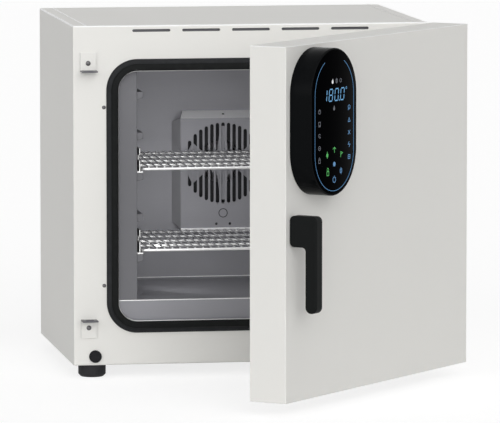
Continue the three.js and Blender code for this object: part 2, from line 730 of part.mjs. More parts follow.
function powerBoard() {
  const { x, y, length, width } = board;
  const trayTop = trayZ + tray.sheet + seat;
  const low = trayTop + board.standoff;
  const top = low + board.sheet;
  const plate = box(x - length / 2, x + length / 2, y - width / 2, y + width / 2, low, top);
  const posts = [-1, 1].flatMap((i) => [-1, 1].map((k) => bar('z',
    x + i * (length / 2 - board.edge), y + k * (width / 2 - board.edge), board.standoffRadius,
    trayTop, top, rodSides / 2)));
  const sunk = top - board.sheet / 2;
  const left = x - length / 2 + board.edge;
  const front = y - width / 2 + board.edge * 2;
  const block = (size, x0, y0) => box(x0, x0 + size.length, y0, y0 + size.width, sunk, top + size.height);
  const cans = [0, 1, 2].map((i) => bar('z', left + transformer.length + capacitor.pitch * (i + 1),
    y + capacitor.pitch / 2, capacitor.radius, sunk, top + capacitor.height));
  return join(plate, ...posts, block(transformer, left, y), ...cans,
    block(relay, left + transformer.length + relay.width, front), block(relay, left, front));
}

function relayHeatsink() {
  const { x, y, length, width } = heatsink;
  const low = trayZ + tray.sheet + seat;
  const base = box(x - length / 2, x + length / 2, y - width / 2, y + width / 2, low, low + heatsink.base);
  const step = (length - heatsink.finSheet) / (heatsink.fins - 1);
  const fins = Array.from({ length: heatsink.fins }, (_, i) => {
    const x0 = x - length / 2 + i * step;
    return box(x0, x0 + heatsink.finSheet, y - width / 2, y + width / 2,
      low + heatsink.base / 2, low + heatsink.base + heatsink.finHeight);
  });
  return join(base, ...fins);
}

// Glass wool
function woolWrap() {
  const half = sheetInside - body.sheet - seat;
  const outline = rectangle(-half, half, body.sheet + seat, linerTop + jacket.topWool);
  const hole = roundedRectangle(-linerHalf - seat, linerHalf + seat, linerBottom - seat, linerTop + seat,
    liner.corner + seat);
  const studs = Object.values(footPlaces()).map(([x, y]) =>
    bar('z', x, y, stud.radius + running, 0, stud.rise + running));
  return cut(prism('y', outline, skinFront, linerBack, [hole]), ...studs);
}

function woolBack() {
  const half = sheetInside - body.sheet - seat;
  const from = linerBack + seat;
  const to = linerBack + jacket.rearWool;
  const block = box(-half, half, from, to, body.sheet + seat, linerTop + jacket.topWool);
  const reach = motor.flange / 2 + running;
  const motorHole = box(-reach, reach, from - overrun, to + overrun, fanZ - reach, fanZ + reach);
  const pipeHole = bar('y', exhaustX, exhaustZ(), exhaust.radius + running, from - overrun, to + overrun,
    wheelSides);
  const studs = Object.values(footPlaces()).map(([x, y]) =>
    bar('z', x, y, stud.radius + running, 0, stud.rise + running));
  return cut(block, motorHole, pipeHole, ...studs);
}

// Shelves slide on rails, and each rail stands on a pair of wall ribs
function shelfBottom(level) {
  return ribTop(level) + seat + rail.ledge + seat;
}

function shelfRail(side, level) {
  const low = ribTop(level) + seat;
  const from = frontY + shelfPlace.railFromFront;
  const to = coverFace - shelfPlace.railFromCover;
  const wallSide = clearHalf - seat;
  const webOuter = clearHalf - rail.fromWall;
  const ledge = box(clearHalf - rib.depth, wallSide, from, to, low, low + rail.ledge);
  const web = box(webOuter - rail.web, webOuter, from, to, low, low + rail.height);
  const notch = box(webOuter - rail.web - overrun, webOuter + overrun,
    from - overrun, from + rail.notchDepth,
    low + rail.notchFrom, low + rail.notchFrom + rail.notchHeight);
  const right = cut(join(ledge, web), notch);
  return side > 0 ? right : right.mirror([1, 0, 0]);
}

function wireShelf(level) {
  const half = clearHalf - rail.fromWall - rail.web - running;
  const front = frontY + shelfPlace.fromFront;
  const rear = coverFace - shelfPlace.fromCover;
  const low = shelfBottom(level);
  const top = low + wire.frame;
  const step = (rear - front - wire.frame) / (wire.crossBars - 1);
  const across = Array.from({ length: wire.crossBars }, (_, i) =>
    box(-half, half, front + i * step, front + i * step + wire.frame, low, top));
  const sides = [-1, 1].map((side) => box(
    Math.min(side * half, side * (half - wire.frame)), Math.max(side * half, side * (half - wire.frame)),
    front, rear, low, top));
  const perSide = Math.floor((half - wire.frame - wire.bar) / wire.barPitch);
  const bars = Array.from({ length: 2 * perSide + 1 }, (_, i) => {
    const x = (i - perSide) * wire.barPitch;
    return box(x - wire.bar / 2, x + wire.bar / 2, front + wire.bar / 2, rear - wire.bar / 2,
      top - wire.barSink, top - wire.barSink + wire.bar);
  });
  return join(...across, ...sides, ...bars);
}

// Latch strikes and the door stop. Up is 1 for the upper strike and -1 for the lower one.
function strikeScrewPlaces() {
  return [
    upperStrikeZ + strikeScrew.fromFlange,
    lowerStrikeZ - strikeScrew.fromFlange,
  ];
}

function strikePiece(z, up) {
  const half = strike.width / 2;
  const face = frontY - seat;
  const flange = box(strikeX - half, strikeX + half, face - strike.reach, face,
    z - strike.sheet / 2, z + strike.sheet / 2);
  const plateEnd = z + up * strike.plate;
  const plate = box(strikeX - half, strikeX + half, face - strike.sheet, face,
    Math.min(z, plateEnd), Math.max(z, plateEnd));
  const slot = box(strikeX - strikeSlot.width / 2, strikeX + strikeSlot.width / 2,
    latchY - strikeSlot.depth / 2, latchY + strikeSlot.depth / 2, z - overrun, z + overrun);
  const screwHole = bar('y', strikeX, z + up * strikeScrew.fromFlange, strikeScrew.shank + seat,
    face - strike.sheet - overrun, face + overrun);
  return cut(join(flange, plate), slot, screwHole);
}

function strikeScrewPiece(z) {
  const plateFace = frontY - seat - strike.sheet - seat;
  return join(
    bar('y', strikeX, z, strikeScrew.head, plateFace - strikeScrew.headHeight, plateFace),
    bar('y', strikeX, z, strikeScrew.shank, plateFace - strikeScrew.headHeight / 2, frontY + body.sheet));
}

function doorStopPiece() {
  const x = -halfWidth + doorStop.fromSide;
  const face = frontY - seat;
  return join(
    bar('y', x, doorStop.fromBottom, doorStop.radius,
      face - doorStop.height + doorStop.edge, face, wheelSides),
    bar('y', x, doorStop.fromBottom, doorStop.radius - doorStop.edge,
      face - doorStop.height, face, wheelSides));
}

// Hinges: the lower half of each belongs to the body and the upper half to the door
function hingeKnuckle(from, to, leafX0, leafX1, leafY0, leafY1) {
  const knuckle = bar('z', hingeX, hingeY, hinge.knuckle, from, to, rodSides * 2);
  const leaf = box(leafX0, leafX1, leafY0, leafY1, from, to);
  const bore = bar('z', hingeX, hingeY, hinge.pin + seat, from - overrun, to + overrun);
  return cut(join(knuckle, leaf), bore);
}

function hingePieces(name, middle) {
  const low = middle - hinge.height / 2;
  const high = middle + hinge.height / 2;
  const bodyFace = halfWidth + seat;
  const doorFace = doorHalf + seat;
  piece(`${name}_hinge_bracket`,
    hingeKnuckle(low, middle - seat / 2, bodyFace, bodyFace + hinge.leaf, hingeY, frontY + hinge.bodyLeaf),
    'whiteCoat');
  piece(`${name}_hinge_pin`, join(
    bar('z', hingeX, hingeY, hinge.pin, low, high + seat + hinge.head),
    bar('z', hingeX, hingeY, hinge.headRadius, high + seat, high + seat + hinge.head)), 'zinc');
  doorPiece(`${name}_hinge_leaf`,
    hingeKnuckle(middle + seat / 2, high, doorFace, doorFace + hinge.leaf, hingeY - hinge.doorLeaf, hingeY),
    'whiteCoat');
}

// Door
function doorShell() {
  const inner = door.sheet;
  const outer = box(-doorHalf, doorHalf, doorOuter, doorInner, 0, body.height);
  const hollow = box(-doorHalf + inner, doorHalf - inner, doorOuter + inner, doorInner + overrun,
    inner, body.height - inner);
  const spindleHole = bar('y', handleX, handleZ, spindle.radius + running, doorOuter - overrun,
    doorOuter + inner + overrun);
  return cut(outer, hollow, spindleHole);
}

function doorInnerPanel() {
  const half = doorHalf - door.sheet - seat;
  const holes = [[upperStrikeZ, 1], [lowerStrikeZ, -1]].map(([z, up]) => {
    const side = strike.width / 2 + strike.sheet * 2;
    const near = z - up * strike.sheet * 4;
    const far = z + up * (strike.plate + strike.sheet * 2);
    return rectangle(strikeX - side, strikeX + side, Math.min(near, far), Math.max(near, far));
  });
  return prism('y', rectangle(-half, half, door.sheet + seat, body.height - door.sheet - seat),
    doorInner - door.innerSheet, doorInner, holes);
}

function doorWool() {
  return box(
    -doorHalf + door.latchSpace, doorHalf - door.sheet - seat,
    doorOuter + door.sheet + seat, doorInner - door.innerSheet - seat,
    door.sheet + seat, body.height - door.sheet - seat);
}

// Control pod
function podOutline(gap) {
  const half = pod.width / 2 - gap;
  return roundedRectangle(podX - half, podX + half, podBottom + gap, podTop - gap, half, cornerSteps * 2);
}

function podHousing() {
  const back = doorOuter - seat;
  return prism('y', podOutline(0), back - pod.depth + seat, back, [podOutline(pod.wall)]);
}

function podGlass() {
  const front = doorOuter - pod.depth;
  return prism('y', podOutline(pod.wall + seat), front, front + pod.glass);
}

function displayBoard() {
  const glassBack = doorOuter - pod.depth + pod.glass;
  const front = glassBack + podBoard.behindGlass;
  const back = front + podBoard.sheet;
  const plate = prism('y', podOutline(pod.wall + podBoard.margin), front, back);
  const reachX = pod.width / 2 - podBoard.postInset;
  const posts = [podBottom + pod.width / 2, podTop - pod.width / 2].flatMap((z) => [-1, 1].map((side) =>
    bar('y', podX + side * reachX, z, podBoard.postRadius,
      glassBack + seat, doorOuter - seat, rodSides / 2)));
  const z = podTop - displayBlock.fromTop;
  const digits = box(podX - displayBlock.width / 2, podX + displayBlock.width / 2,
    front - displayBlock.depth, back, z - displayBlock.height, z);
  return join(plate, digits, ...posts);
}

// Handle and latch
function handlePiece() {
  const base = doorOuter - handle.lift;
  const face = doorOuter - handle.reach;
  const grip = face + handle.gripDepth;
  const top = handleZ + handle.neck / 2;
  const neckLow = handleZ - handle.neck / 2;
  const low = top - handle.length;
  const profile = roundedOutline([
    [base, top, 0], [face, top, handle.corner], [face, low, handle.corner],
    [grip, low, handle.corner], [grip, neckLow, handle.corner / 2], [base, neckLow, 0],
  ].reverse());
  const half = handle.width / 2;
  const bore = bar('y', handleX, handleZ, spindle.radius + seat, base - handle.bore, base + overrun);
  return cut(prism('x', profile, handleX - half, handleX + half), bore);
}

function pinionY() {
  return [latchY - pinion.width / 2, latchY + pinion.width / 2];
}

function spindlePiece() {
  const front = doorOuter - handle.lift - handle.bore + seat;
  return bar('y', handleX, handleZ, spindle.radius, front, pinionY()[1]);
}

// Teeth as (along, out) points of one pitch, wound along a circle or a straight rack
function toothPoints(pitch) {
  const root = (pitch * toothRootShare) / 2;
  const tip = (pitch * toothTipShare) / 2;
  return [
    [-root, -pinion.dedendum], [-tip, pinion.addendum],
    [tip, pinion.addendum], [root, -pinion.dedendum],
  ];
}

function toothPitch() {
  return (4 * quarter * pinion.pitchRadius) / pinion.teeth;
}

function latchPinion() {
  const points = [];
  for (let tooth = 0; tooth < pinion.teeth; tooth += 1) {
    for (const [along, out] of toothPoints(toothPitch())) {
      const angle = (tooth * toothPitch() + along) / pinion.pitchRadius;
      const radius = pinion.pitchRadius + out;
      points.push(new THREE.Vector2(handleX + radius * Math.cos(angle), handleZ + radius * Math.sin(angle)));
    }
  }
  const [from, to] = pinionY();
  const hole = arc(handleX, handleZ, spindle.radius + seat, 0, 4 * quarter, rodSides).slice(1);
  return prism('y', points, from, to, [hole]);
}

// A bolt rod: a rack beside the pinion, a flat bar, a crosspiece and the pin that enters the strike.
// Up is 1 for the rod that shoots up, on the pinion's right, and -1 for the one that shoots down.
function boltRod(up, strikeZ) {
  const [from, to] = pinionY();
  const pitch = toothPitch();
  const travel = pinion.pitchRadius * rod.turn;
  const near = handleX + up * (pinion.pitchRadius + pinion.dedendum);
  const far = near + up * rod.width;
  const tip = strikeZ - up * (strike.sheet / 2 + rod.tipGap);
  const pinFoot = tip - up * rod.pinLength;
  const crossEnd = strikeX - up * rod.pinReach;
  const span = (a, b) => [Math.min(a, b), Math.max(a, b)];
  const shank = box(...span(near, far), from, to, ...span(handleZ - up * rod.tail, pinFoot));
  const cross = box(...span(far, crossEnd), from, to, ...span(pinFoot, pinFoot - up * rod.crosspiece));
  const pin = bar('z', strikeX, latchY, rod.pin, ...span(pinFoot - up * rod.crosspiece / 2, tip));
  const count = Math.ceil(travel / pitch) + 2;
  const teeth = Array.from({ length: count }, (_, i) => {
    const z = handleZ - up * (i - 1 / 2) * pitch;
    const outline = toothPoints(pitch).map(([along, out]) => {
      const x = handleX + up * (pinion.pitchRadius - out);
      return new THREE.Vector2(out < 0 ? x + up * overrun / 4 : x, z - up * along);
    });
    return prism('y', outline, from, to);
  });
  return join(shank, cross, pin, ...teeth);
}

// Build the casing
piece('base_pan', basePan(), 'whiteCoat');
piece('left_side_panel', sidePanel(-1), 'whiteCoat');
piece('right_side_panel', sidePanel(1), 'whiteCoat');
piece('top_cover', topCover(), 'whiteCoat');
piece('rear_cover', rearCover(), 'whiteCoat');
piece('front_frame', frontFrame(), 'whiteCoat');
Object.entries(footPlaces()).forEach(([name, [x, y]]) => piece(name, footPiece(x, y), 'blackRubber'));
piece('insulation_wrap', woolWrap(), 'glassWool');
piece('insulation_rear', woolBack(), 'glassWool');

// Build the chamber
piece('door_gasket', gasketRing(), 'blackRubber');
piece('chamber_liner', chamberLiner(), 'stainless');
piece('left_air_duct', airDuct(-1), 'stainless');
piece('right_air_duct', airDuct(1), 'stainless');
piece('floor_plate', floorPiece(), 'stainless');
piece('rear_baffle', rearBaffle(), 'stainless');
piece('fan_cover', fanCover(), 'stainless');
piece('fan_impeller', fanImpeller(), 'stainless');
piece('fan_shaft', fanShaft(), 'zinc');
piece('fan_motor', fanMotor(), 'motorGrey');
piece('heating_element', heatingElement(), 'motorGrey');
const probeNames = ['temperature_probe', 'limit_probe'];
probePlaces().forEach((x, i) => piece(probeNames[i], probePiece(x, 1 - i / 10), 'brightWire'));

// Build the exhaust, inlet and electronics
piece('exhaust_pipe', exhaustPipe(), 'stainless');
piece('exhaust_flap', exhaustFlap(), 'stainless');
piece('flap_knob', flapKnob(), 'blackMatt');
piece('mains_inlet', mainsInlet(), 'blackMatt');
piece('electronics_tray', electronicsTray(), 'zinc');
piece('power_board', powerBoard(), 'circuitGreen');
piece('relay_heatsink', relayHeatsink(), 'zinc');

// Build the shelves
for (const [name, level] of [['upper', upperRib], ['lower', lowerRib]]) {
  piece(`${name}_left_rail`, shelfRail(-1, level), 'brightWire');
  piece(`${name}_right_rail`, shelfRail(1, level), 'brightWire');
  piece(`${name}_shelf`, wireShelf(level), 'brightWire');
}

// Build what the door meets
piece('upper_strike', strikePiece(upperStrikeZ, 1), 'whiteCoat');
piece('lower_strike', strikePiece(lowerStrikeZ, -1), 'whiteCoat');
const screwNames = ['upper_strike_screw', 'lower_strike_screw'];
strikeScrewPlaces().forEach((z, i) => piece(screwNames[i], strikeScrewPiece(z), 'zinc'));
piece('door_stop', doorStopPiece(), 'blackRubber');
hingePieces('upper', body.height - hinge.fromEnd);
hingePieces('lower', hinge.fromEnd);

// Build the door
doorPiece('door_shell', doorShell(), 'whiteCoat');
doorPiece('door_inner_panel', doorInnerPanel(), 'whiteCoat');
doorPiece('door_insulation', doorWool(), 'glassWool');
doorPiece('control_housing', podHousing(), 'blackGloss');
doorPiece('control_glass', podGlass(), 'blackGloss');
doorPiece('display_board', displayBoard(), 'circuitGreen');
doorPiece('handle', handlePiece(), 'blackMatt');
doorPiece('handle_spindle', spindlePiece(), 'zinc');
doorPiece('latch_pinion', latchPinion(), 'zinc');
doorPiece('upper_bolt_rod', boltRod(1, upperStrikeZ), 'zinc');
doorPiece('lower_bolt_rod', boltRod(-1, lowerStrikeZ), 'zinc');

export default cabinet;
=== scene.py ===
"""Drying cabinet: the fine surface of a laboratory drying oven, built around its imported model."""

import json
import math

import bmesh
import bpy
from mathutils import Matrix, Vector

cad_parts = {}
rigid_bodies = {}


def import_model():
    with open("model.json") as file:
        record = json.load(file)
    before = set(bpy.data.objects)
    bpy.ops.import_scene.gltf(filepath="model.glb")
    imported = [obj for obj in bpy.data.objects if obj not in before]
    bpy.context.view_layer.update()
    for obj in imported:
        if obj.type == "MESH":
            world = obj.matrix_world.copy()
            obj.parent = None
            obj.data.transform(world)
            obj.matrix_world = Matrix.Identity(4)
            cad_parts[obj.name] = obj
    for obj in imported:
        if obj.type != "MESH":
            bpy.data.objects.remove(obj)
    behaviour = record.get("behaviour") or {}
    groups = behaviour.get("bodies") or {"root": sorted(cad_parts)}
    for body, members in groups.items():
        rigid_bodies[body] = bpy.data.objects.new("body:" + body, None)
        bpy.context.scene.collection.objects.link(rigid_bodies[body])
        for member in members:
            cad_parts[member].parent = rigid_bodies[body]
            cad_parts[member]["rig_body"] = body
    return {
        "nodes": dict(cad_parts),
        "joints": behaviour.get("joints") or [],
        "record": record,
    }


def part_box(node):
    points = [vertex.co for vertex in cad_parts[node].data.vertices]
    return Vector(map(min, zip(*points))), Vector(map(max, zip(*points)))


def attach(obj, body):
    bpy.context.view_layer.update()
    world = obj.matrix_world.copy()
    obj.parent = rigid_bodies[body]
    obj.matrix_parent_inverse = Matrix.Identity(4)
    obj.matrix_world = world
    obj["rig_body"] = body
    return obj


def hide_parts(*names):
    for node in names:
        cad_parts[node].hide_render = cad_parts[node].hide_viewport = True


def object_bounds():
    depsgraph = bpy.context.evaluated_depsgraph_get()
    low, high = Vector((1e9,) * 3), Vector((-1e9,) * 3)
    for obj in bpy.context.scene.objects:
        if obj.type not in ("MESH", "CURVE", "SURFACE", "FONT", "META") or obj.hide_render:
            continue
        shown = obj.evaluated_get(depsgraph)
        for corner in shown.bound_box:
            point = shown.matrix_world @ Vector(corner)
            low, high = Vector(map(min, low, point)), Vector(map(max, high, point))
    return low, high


bl_info = {
    "name": "Drying Cabinet",
    "version": (1, 0, 0),
    "blender": (4, 5, 0),
    "location": "3D View > Sidebar > Cabinet",
    "description": "Builds the fine surface of a laboratory drying oven around its packed model",
    "category": "Object",
}

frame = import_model()
CAD_BOX = [list(corner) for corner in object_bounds()]
NODES = frame["nodes"]
BODY_OF = {node: part["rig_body"] for node, part in NODES.items()}
SLOT_OF = {part["node"]: part["material_slot"] for part in frame["record"]["subparts"]}
MM = 0.001

# Corners of a mesh that lie nearer than this are one corner: in a skin, in a whole piece and after a cut
SKIN_GAP = 0.0001 * MM
PIECE_GAP = 0.002 * MM
CUT_GAP = 0.05 * MM
# A vertex or face this near to a side of its piece belongs to that side
SIDE_GAP = 0.1 * MM
# Faces that meet at less than the first bend are one face, and edges above the second are rounded
FLAT_BEND = math.radians(0.3)
SHARP_BEND = math.radians(40)
# A face narrower than this is a sheet's cut edge
CUT_EDGE = 1.7 * MM
BEVEL_STEPS = 3

FORWARD = (0.0, -1.0, 0.0)
BACKWARD = (0.0, 1.0, 0.0)


def joint(name):
    """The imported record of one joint."""
    return next(item for item in frame["joints"] if item["name"] == name)


def door_turn():
    """Takes a place on the shut door to where it is while the door stands open at rest."""
    hinge = joint("door_hinge")
    pivot = Vector(hinge["pos_m"])
    angle = math.radians(-hinge["range_deg"][0])
    return Matrix.Translation(pivot) @ Matrix.Rotation(angle, 4, "Z") @ Matrix.Translation(-pivot)


def shut_box(node):
    """The lowest and highest corners of a door node with the door shut."""
    back = door_turn().inverted()
    places = [back @ vertex.co for vertex in NODES[node].data.vertices]
    low = Vector(min(place[axis] for place in places) for axis in range(3))
    high = Vector(max(place[axis] for place in places) for axis in range(3))
    return low, high


def linear(red, green, blue):
    """A screen colour in steps of 255 as the linear colour that shaders use."""
    shares = (red / 255, green / 255, blue / 255)
    return tuple(v / 12.92 if v <= 0.04045 else ((v + 0.055) / 1.055) ** 2.4 for v in shares)


# Settings that a user would change


def length(name, description, default):
    """A size in metres."""
    return bpy.props.FloatProperty(
        name=name, description=description, default=default, min=0.0, precision=5,
        subtype="DISTANCE", unit="LENGTH",
    )


def colour(name, description, default):
    """A linear colour."""
    return bpy.props.FloatVectorProperty(
        name=name, description=description, default=default, size=3, min=0.0, max=1.0, subtype="COLOR",
    )


def share(name, description, default, high=1.0):
    """A plain factor from 0."""
    return bpy.props.FloatProperty(
        name=name, description=description, default=default, min=0.0, max=high, subtype="FACTOR",
    )


def count(name, description, default):
    """A whole number from 1."""
    return bpy.props.IntProperty(name=name, description=description, default=default, min=1)


def power(name, description, default):
    """A lamp's power in watts."""
    return bpy.props.FloatProperty(
        name=name, description=description, default=default, min=0.0, subtype="POWER", unit="POWER",
    )


class CasingSettings(bpy.types.PropertyGroup):
    """Painted sheet metal of the casing and the door."""

    coat: colour("Coat", "Colour of the powder coat", linear(233, 232, 228))
    fold: length("Fold radius", "Radius of a folded sheet edge", 2.6 * MM)
    small_fold: length("Small fold radius", "Radius of the tighter folds", 1.0 * MM)
    rim: length("Cut edge radius", "Radius of a cut sheet edge", 0.25 * MM)
    front_fold: length("Front fold", "How far the front sheet's top edge is rounded", 3.2 * MM)
    front_side_fold: length("Front side fold", "How far the front sheet's sides are rounded", 0.8 * MM)
    front_corner: length("Front corner", "Radius of the front sheet's corners", 0.6 * MM)
    overlap: length("Overlap", "How far the front border laps over the sheet behind it", 2.0 * MM)
    vent_depth: length("Vent depth", "How far the vent's inner wall lies behind the front", 8.0 * MM)
    vent_drop: length("Vent drop", "How far the vent's inner wall reaches below the front's top", 20.0 * MM)
    vent_height: length("Vent height", "Height of the vent's inner wall up to its bend", 17.0 * MM)
    vent_reach: length("Vent reach", "Half the length of the vent's inner wall", 238.0 * MM)
    bracket_edge: length("Bracket edge", "Radius of the hinge brackets' edges", 0.6 * MM)
    plate_edge: length("Plate edge", "Radius of the edges of thin plates and pins", 0.4 * MM)
    foot_edge: length("Foot edge", "Radius of the feet's edges", 0.8 * MM)
    peel: share("Orange peel", "Depth of the coat's fine waves", 0.16)


class ChamberSettings(bpy.types.PropertyGroup):
    """Stainless sheets inside the chamber."""

    steel: colour("Steel", "Colour of the stainless sheet", (0.33, 0.33, 0.355))
    metal: share("Metal", "How far the satin sheet mirrors instead of scattering light", 0.45)
    roughness: share("Roughness", "Roughness of the satin sheet", 0.5)
    fold: length("Fold radius", "Radius of a folded sheet edge", 0.8 * MM)
    rim: length("Cut edge radius", "Radius of a cut sheet edge", 0.2 * MM)
    bead: length("Bead radius", "Radius of the polished beads on folded edges", 1.1 * MM)
    probe_edge: length("Probe edge", "Radius of the probes' edges", 0.5 * MM)


class FanSettings(bpy.types.PropertyGroup):
    """Fan cover, its lip and plug, and the inlet ring behind the fan."""

    axle: length("Axle height", "Height of the fan's axle", 337.8 * MM)
    edge: length("Edge radius", "Radius of the edges of the cover and the fan", 0.4 * MM)
    slope: length("Flap width", "How far the cover's sloping flaps reach beyond its face", 11.5 * MM)
    sheet: length("Sheet", "How deep the cover's face stays whole at the corners", 1.3 * MM)
    corner_gap: length("Corner gap", "How far from the face the flaps part", 0.15 * MM)
    lip_drop: length("Lip drop", "How far the bright lip hangs below the face", 4.6 * MM)
    lip_out: length("Lip reach", "How far the bright lip stands out of the face", 2.4 * MM)
    screw_rise: length("Screw rise", "Height of the two face screws above the face's foot", 7.5 * MM)
    screw_reach: length("Screw reach", "Distance of the two face screws from the middle", 12.9 * MM)
    plug_rise: length("Plug rise", "Height of the plug above the face's foot", 28.0 * MM)
    plug_radius: length("Plug radius", "Outer radius of the plug's dark rim", 8.7 * MM)
    plug_line: length("Plug line", "Width of the plug's dark rim", 1.4 * MM)
    inlet_reach: length("Inlet reach", "Half the width of the inlet ring", 78.0 * MM)
    inlet_corner: length("Inlet corner", "Radius of the inlet ring's corners", 20.0 * MM)
    inlet_hole: length("Inlet hole", "Radius of the inlet ring's hole", 40.0 * MM)


class GasketSettings(bpy.types.PropertyGroup):
    """Silicone seal round the chamber's mouth."""

    rubber: colour("Rubber", "Colour of the seal's lip", (0.006, 0.0067, 0.0067))
    # The band's lighter colour is painted light on the seal's flat outer band.
    band: colour("Band", "Colour of the flat outer band", (0.018, 0.019, 0.0205))
    width: length("Width", "Width of the seal", 21.0 * MM)
    inner_corner: length("Inner corner", "Radius of the seal's inner corners", 36.0 * MM)
    band_share: share("Band width", "Share of the seal's width that the flat band takes", 0.41)
    corner_steps: count("Corner steps", "Straight steps in each rounded corner", 20)


class ShelfSettings(bpy.types.PropertyGroup):
    """Wire shelves."""

    frame_radius: length("Frame wire", "Radius of the frame and cross wires", 3.0 * MM)
    bar_radius: length("Bar wire", "Radius of the front to back wires", 1.5 * MM)
    bars: count("Bars", "Number of front to back wires", 27)
    crossings: count("Cross wires", "Number of cross wires, with the front and rear ones", 5)
    corner: length("Corner radius", "Radius of the frame wire's bends", 9.0 * MM)
    rail_edge: length("Rail edge", "Radius of the rails' edges", 0.9 * MM)
    steel: colour("Wire", "Colour of the electropolished wire", (0.8, 0.8, 0.8))


class PodSettings(bpy.types.PropertyGroup):
    """Control pod on the door, and its display."""

    gloss: colour("Gloss black", "Colour of the pod's shell", (0.004, 0.0045, 0.005))
    edge: length("Front edge radius", "Radius of the shell's front edge", 1.8 * MM)
    ring_radius: length("Ring radius", "Radius of the lit ring's round ends", 68.0 * MM)
    ring_width: length("Ring width", "Width of the lit ring", 0.9 * MM)
    ring_colour: colour("Ring colour", "Colour of the lit ring", linear(82, 132, 176))
    digit_height: length("Digit height", "Height of the display's digits", 20.5 * MM)
    digit_colour: colour("Digit colour", "Colour of the display's digits", linear(104, 160, 204))
    mark_lift: length("Print thickness", "How far the lit marks stand out of the glass", 0.12 * MM)
    mark_sink: length("Print foot", "How far the lit marks' back lies before the glass", 0.01 * MM)
    glass_gap: length("Glass gap", "Gap between the shell and the glass", 0.12 * MM)
    glass_edge: length("Glass edge", "Width of the glass's bevelled edge", 0.35 * MM)


class HandleSettings(bpy.types.PropertyGroup):
    """Lever handle on the door."""

    plastic: colour("Plastic", "Colour of the lever", (0.0075, 0.0083, 0.0083))
    edge: length("Edge radius", "Radius of the lever's long edges", 2.4 * MM)
    outer_corner: length("Outer corner", "Radius of the lever's outer corner", 9.0 * MM)
    tip_corner: length("Tip corner", "Radius of the grip's lower end", 11.0 * MM)
    inner_corner: length("Inner corner", "Radius between the neck and the grip", 7.0 * MM)
    base_corner: length("Base corner", "Radius of the neck's edges by the door", 8.5 * MM)
    grip: length("Grip", "Thickness of the hanging grip", 23.4 * MM)
    neck: length("Neck", "Height of the neck that holds the grip", 55.0 * MM)


class ScrewSettings(bpy.types.PropertyGroup):
    """Pan-head screws that are left to the fine surface."""

    head_radius: length("Head radius", "Radius of the small screws' heads", 3.5 * MM)
    head_height: length("Head height", "Height of the small screws' heads", 2.2 * MM)
    recess: length("Recess width", "Width of the cross recess", 0.9 * MM)


class RearSettings(bpy.types.PropertyGroup):
    """Rear cover, its louvres, the exhaust and the mains inlet."""

    screw_inset: length("Screw inset", "Distance of the rear screws from the cover's edge", 9.0 * MM)
    pipe_edge: length("Pipe edge", "Radius of the exhaust pipe's edges", 0.5 * MM)
    pipe_rim: length("Pipe rim", "Radius of the exhaust pipe's cut edges", 0.4 * MM)
    flap_edge: length("Flap edge", "Radius of the exhaust flap's edges", 0.3 * MM)
    knob_edge: length("Knob edge", "Radius of the flap knob's edges", 1.0 * MM)
    inlet_edge: length("Inlet edge", "Radius of the mains inlet's edges", 0.8 * MM)
    hood_length: length("Hood length", "Length of a louvre hood", 126.0 * MM)
    hood_rise: length("Hood rise", "Height of a louvre hood", 7.0 * MM)
    hood_depth: length("Hood depth", "How far a louvre hood stands out", 4.0 * MM)
    hood_pitch: length("Hood pitch", "Distance from one louvre hood to the next", 12.0 * MM)
    hoods: count("Hoods", "Number of louvre hoods in a column", 6)
    column_reach: length("Column reach", "Distance of a louvre column from the middle", 150.0 * MM)
    column_foot: length("Column foot", "Height of the lowest louvre hood", 130.0 * MM)


class StageSettings(bpy.types.PropertyGroup):
    """Floor, light and camera."""

    floor: colour("Floor", "Colour of the floor", (0.86, 0.86, 0.86))
    fill: share("Fill", "Strength of the light from all sides", 0.25, 4.0)
    left: share("Left light", "Strength of the light from the left front", 0.85, 10.0)
    front: share("Front light", "Strength of the light from the front", 1.53, 10.0)
    high: share("High light", "Strength of the light from above the front", 0.64, 10.0)
    back: share("Back light", "Strength of the low light from behind", 0.5, 10.0)
    chamber_low: power("Low chamber light", "Power of the lamp low in the chamber", 0.32)
    chamber_high: power("High chamber light", "Power of the lamp high in the chamber", 0.18)
    softness: bpy.props.FloatProperty(
        name="Softness", description="Apparent width of each light", default=math.radians(50),
        min=0.0, max=math.pi, subtype="ANGLE", unit="ROTATION",
    )


GROUPS = {
    "casing": CasingSettings,
    "chamber": ChamberSettings,
    "fan": FanSettings,
    "gasket": GasketSettings,
    "shelves": ShelfSettings,
    "pod": PodSettings,
    "handle": HandleSettings,
    "screws": ScrewSettings,
    "rear": RearSettings,
    "stage": StageSettings,
}


def settings(name):
    """One group of the scene's settings."""
    return getattr(bpy.context.scene, "cabinet_" + name)


# Node trees


class Signal:
    """A node's output that takes part in Python sums."""

    def __init__(self, board, socket):
        self.board = board
        self.socket = socket

    def out(self, key):
        """Another output of the same node."""
        return Signal(self.board, find_socket(self.socket.node.outputs, key))

    def __add__(self, other):
        return self.board.maths("ADD", self, other)

    def __radd__(self, other):
        return self.board.maths("ADD", other, self)

    def __sub__(self, other):
        return self.board.maths("SUBTRACT", self, other)

    def __rsub__(self, other):
        return self.board.maths("SUBTRACT", other, self)

    def __mul__(self, other):
        return self.board.maths("MULTIPLY", self, other)

    def __rmul__(self, other):
        return self.board.maths("MULTIPLY", other, self)

    def __truediv__(self, other):
        return self.board.maths("DIVIDE", self, other)

    def __rtruediv__(self, other):
        return self.board.maths("DIVIDE", other, self)

    def __neg__(self):
        return self.board.maths("MULTIPLY", self, -1.0)


def find_socket(sockets, key):
    """A socket by its place, its identifier or its name."""
    if isinstance(key, int):
        return sockets[key]
    for socket in sockets:
        if socket.identifier == key and socket.enabled:
            return socket
    return next(socket for socket in sockets if socket.name == key and socket.enabled)


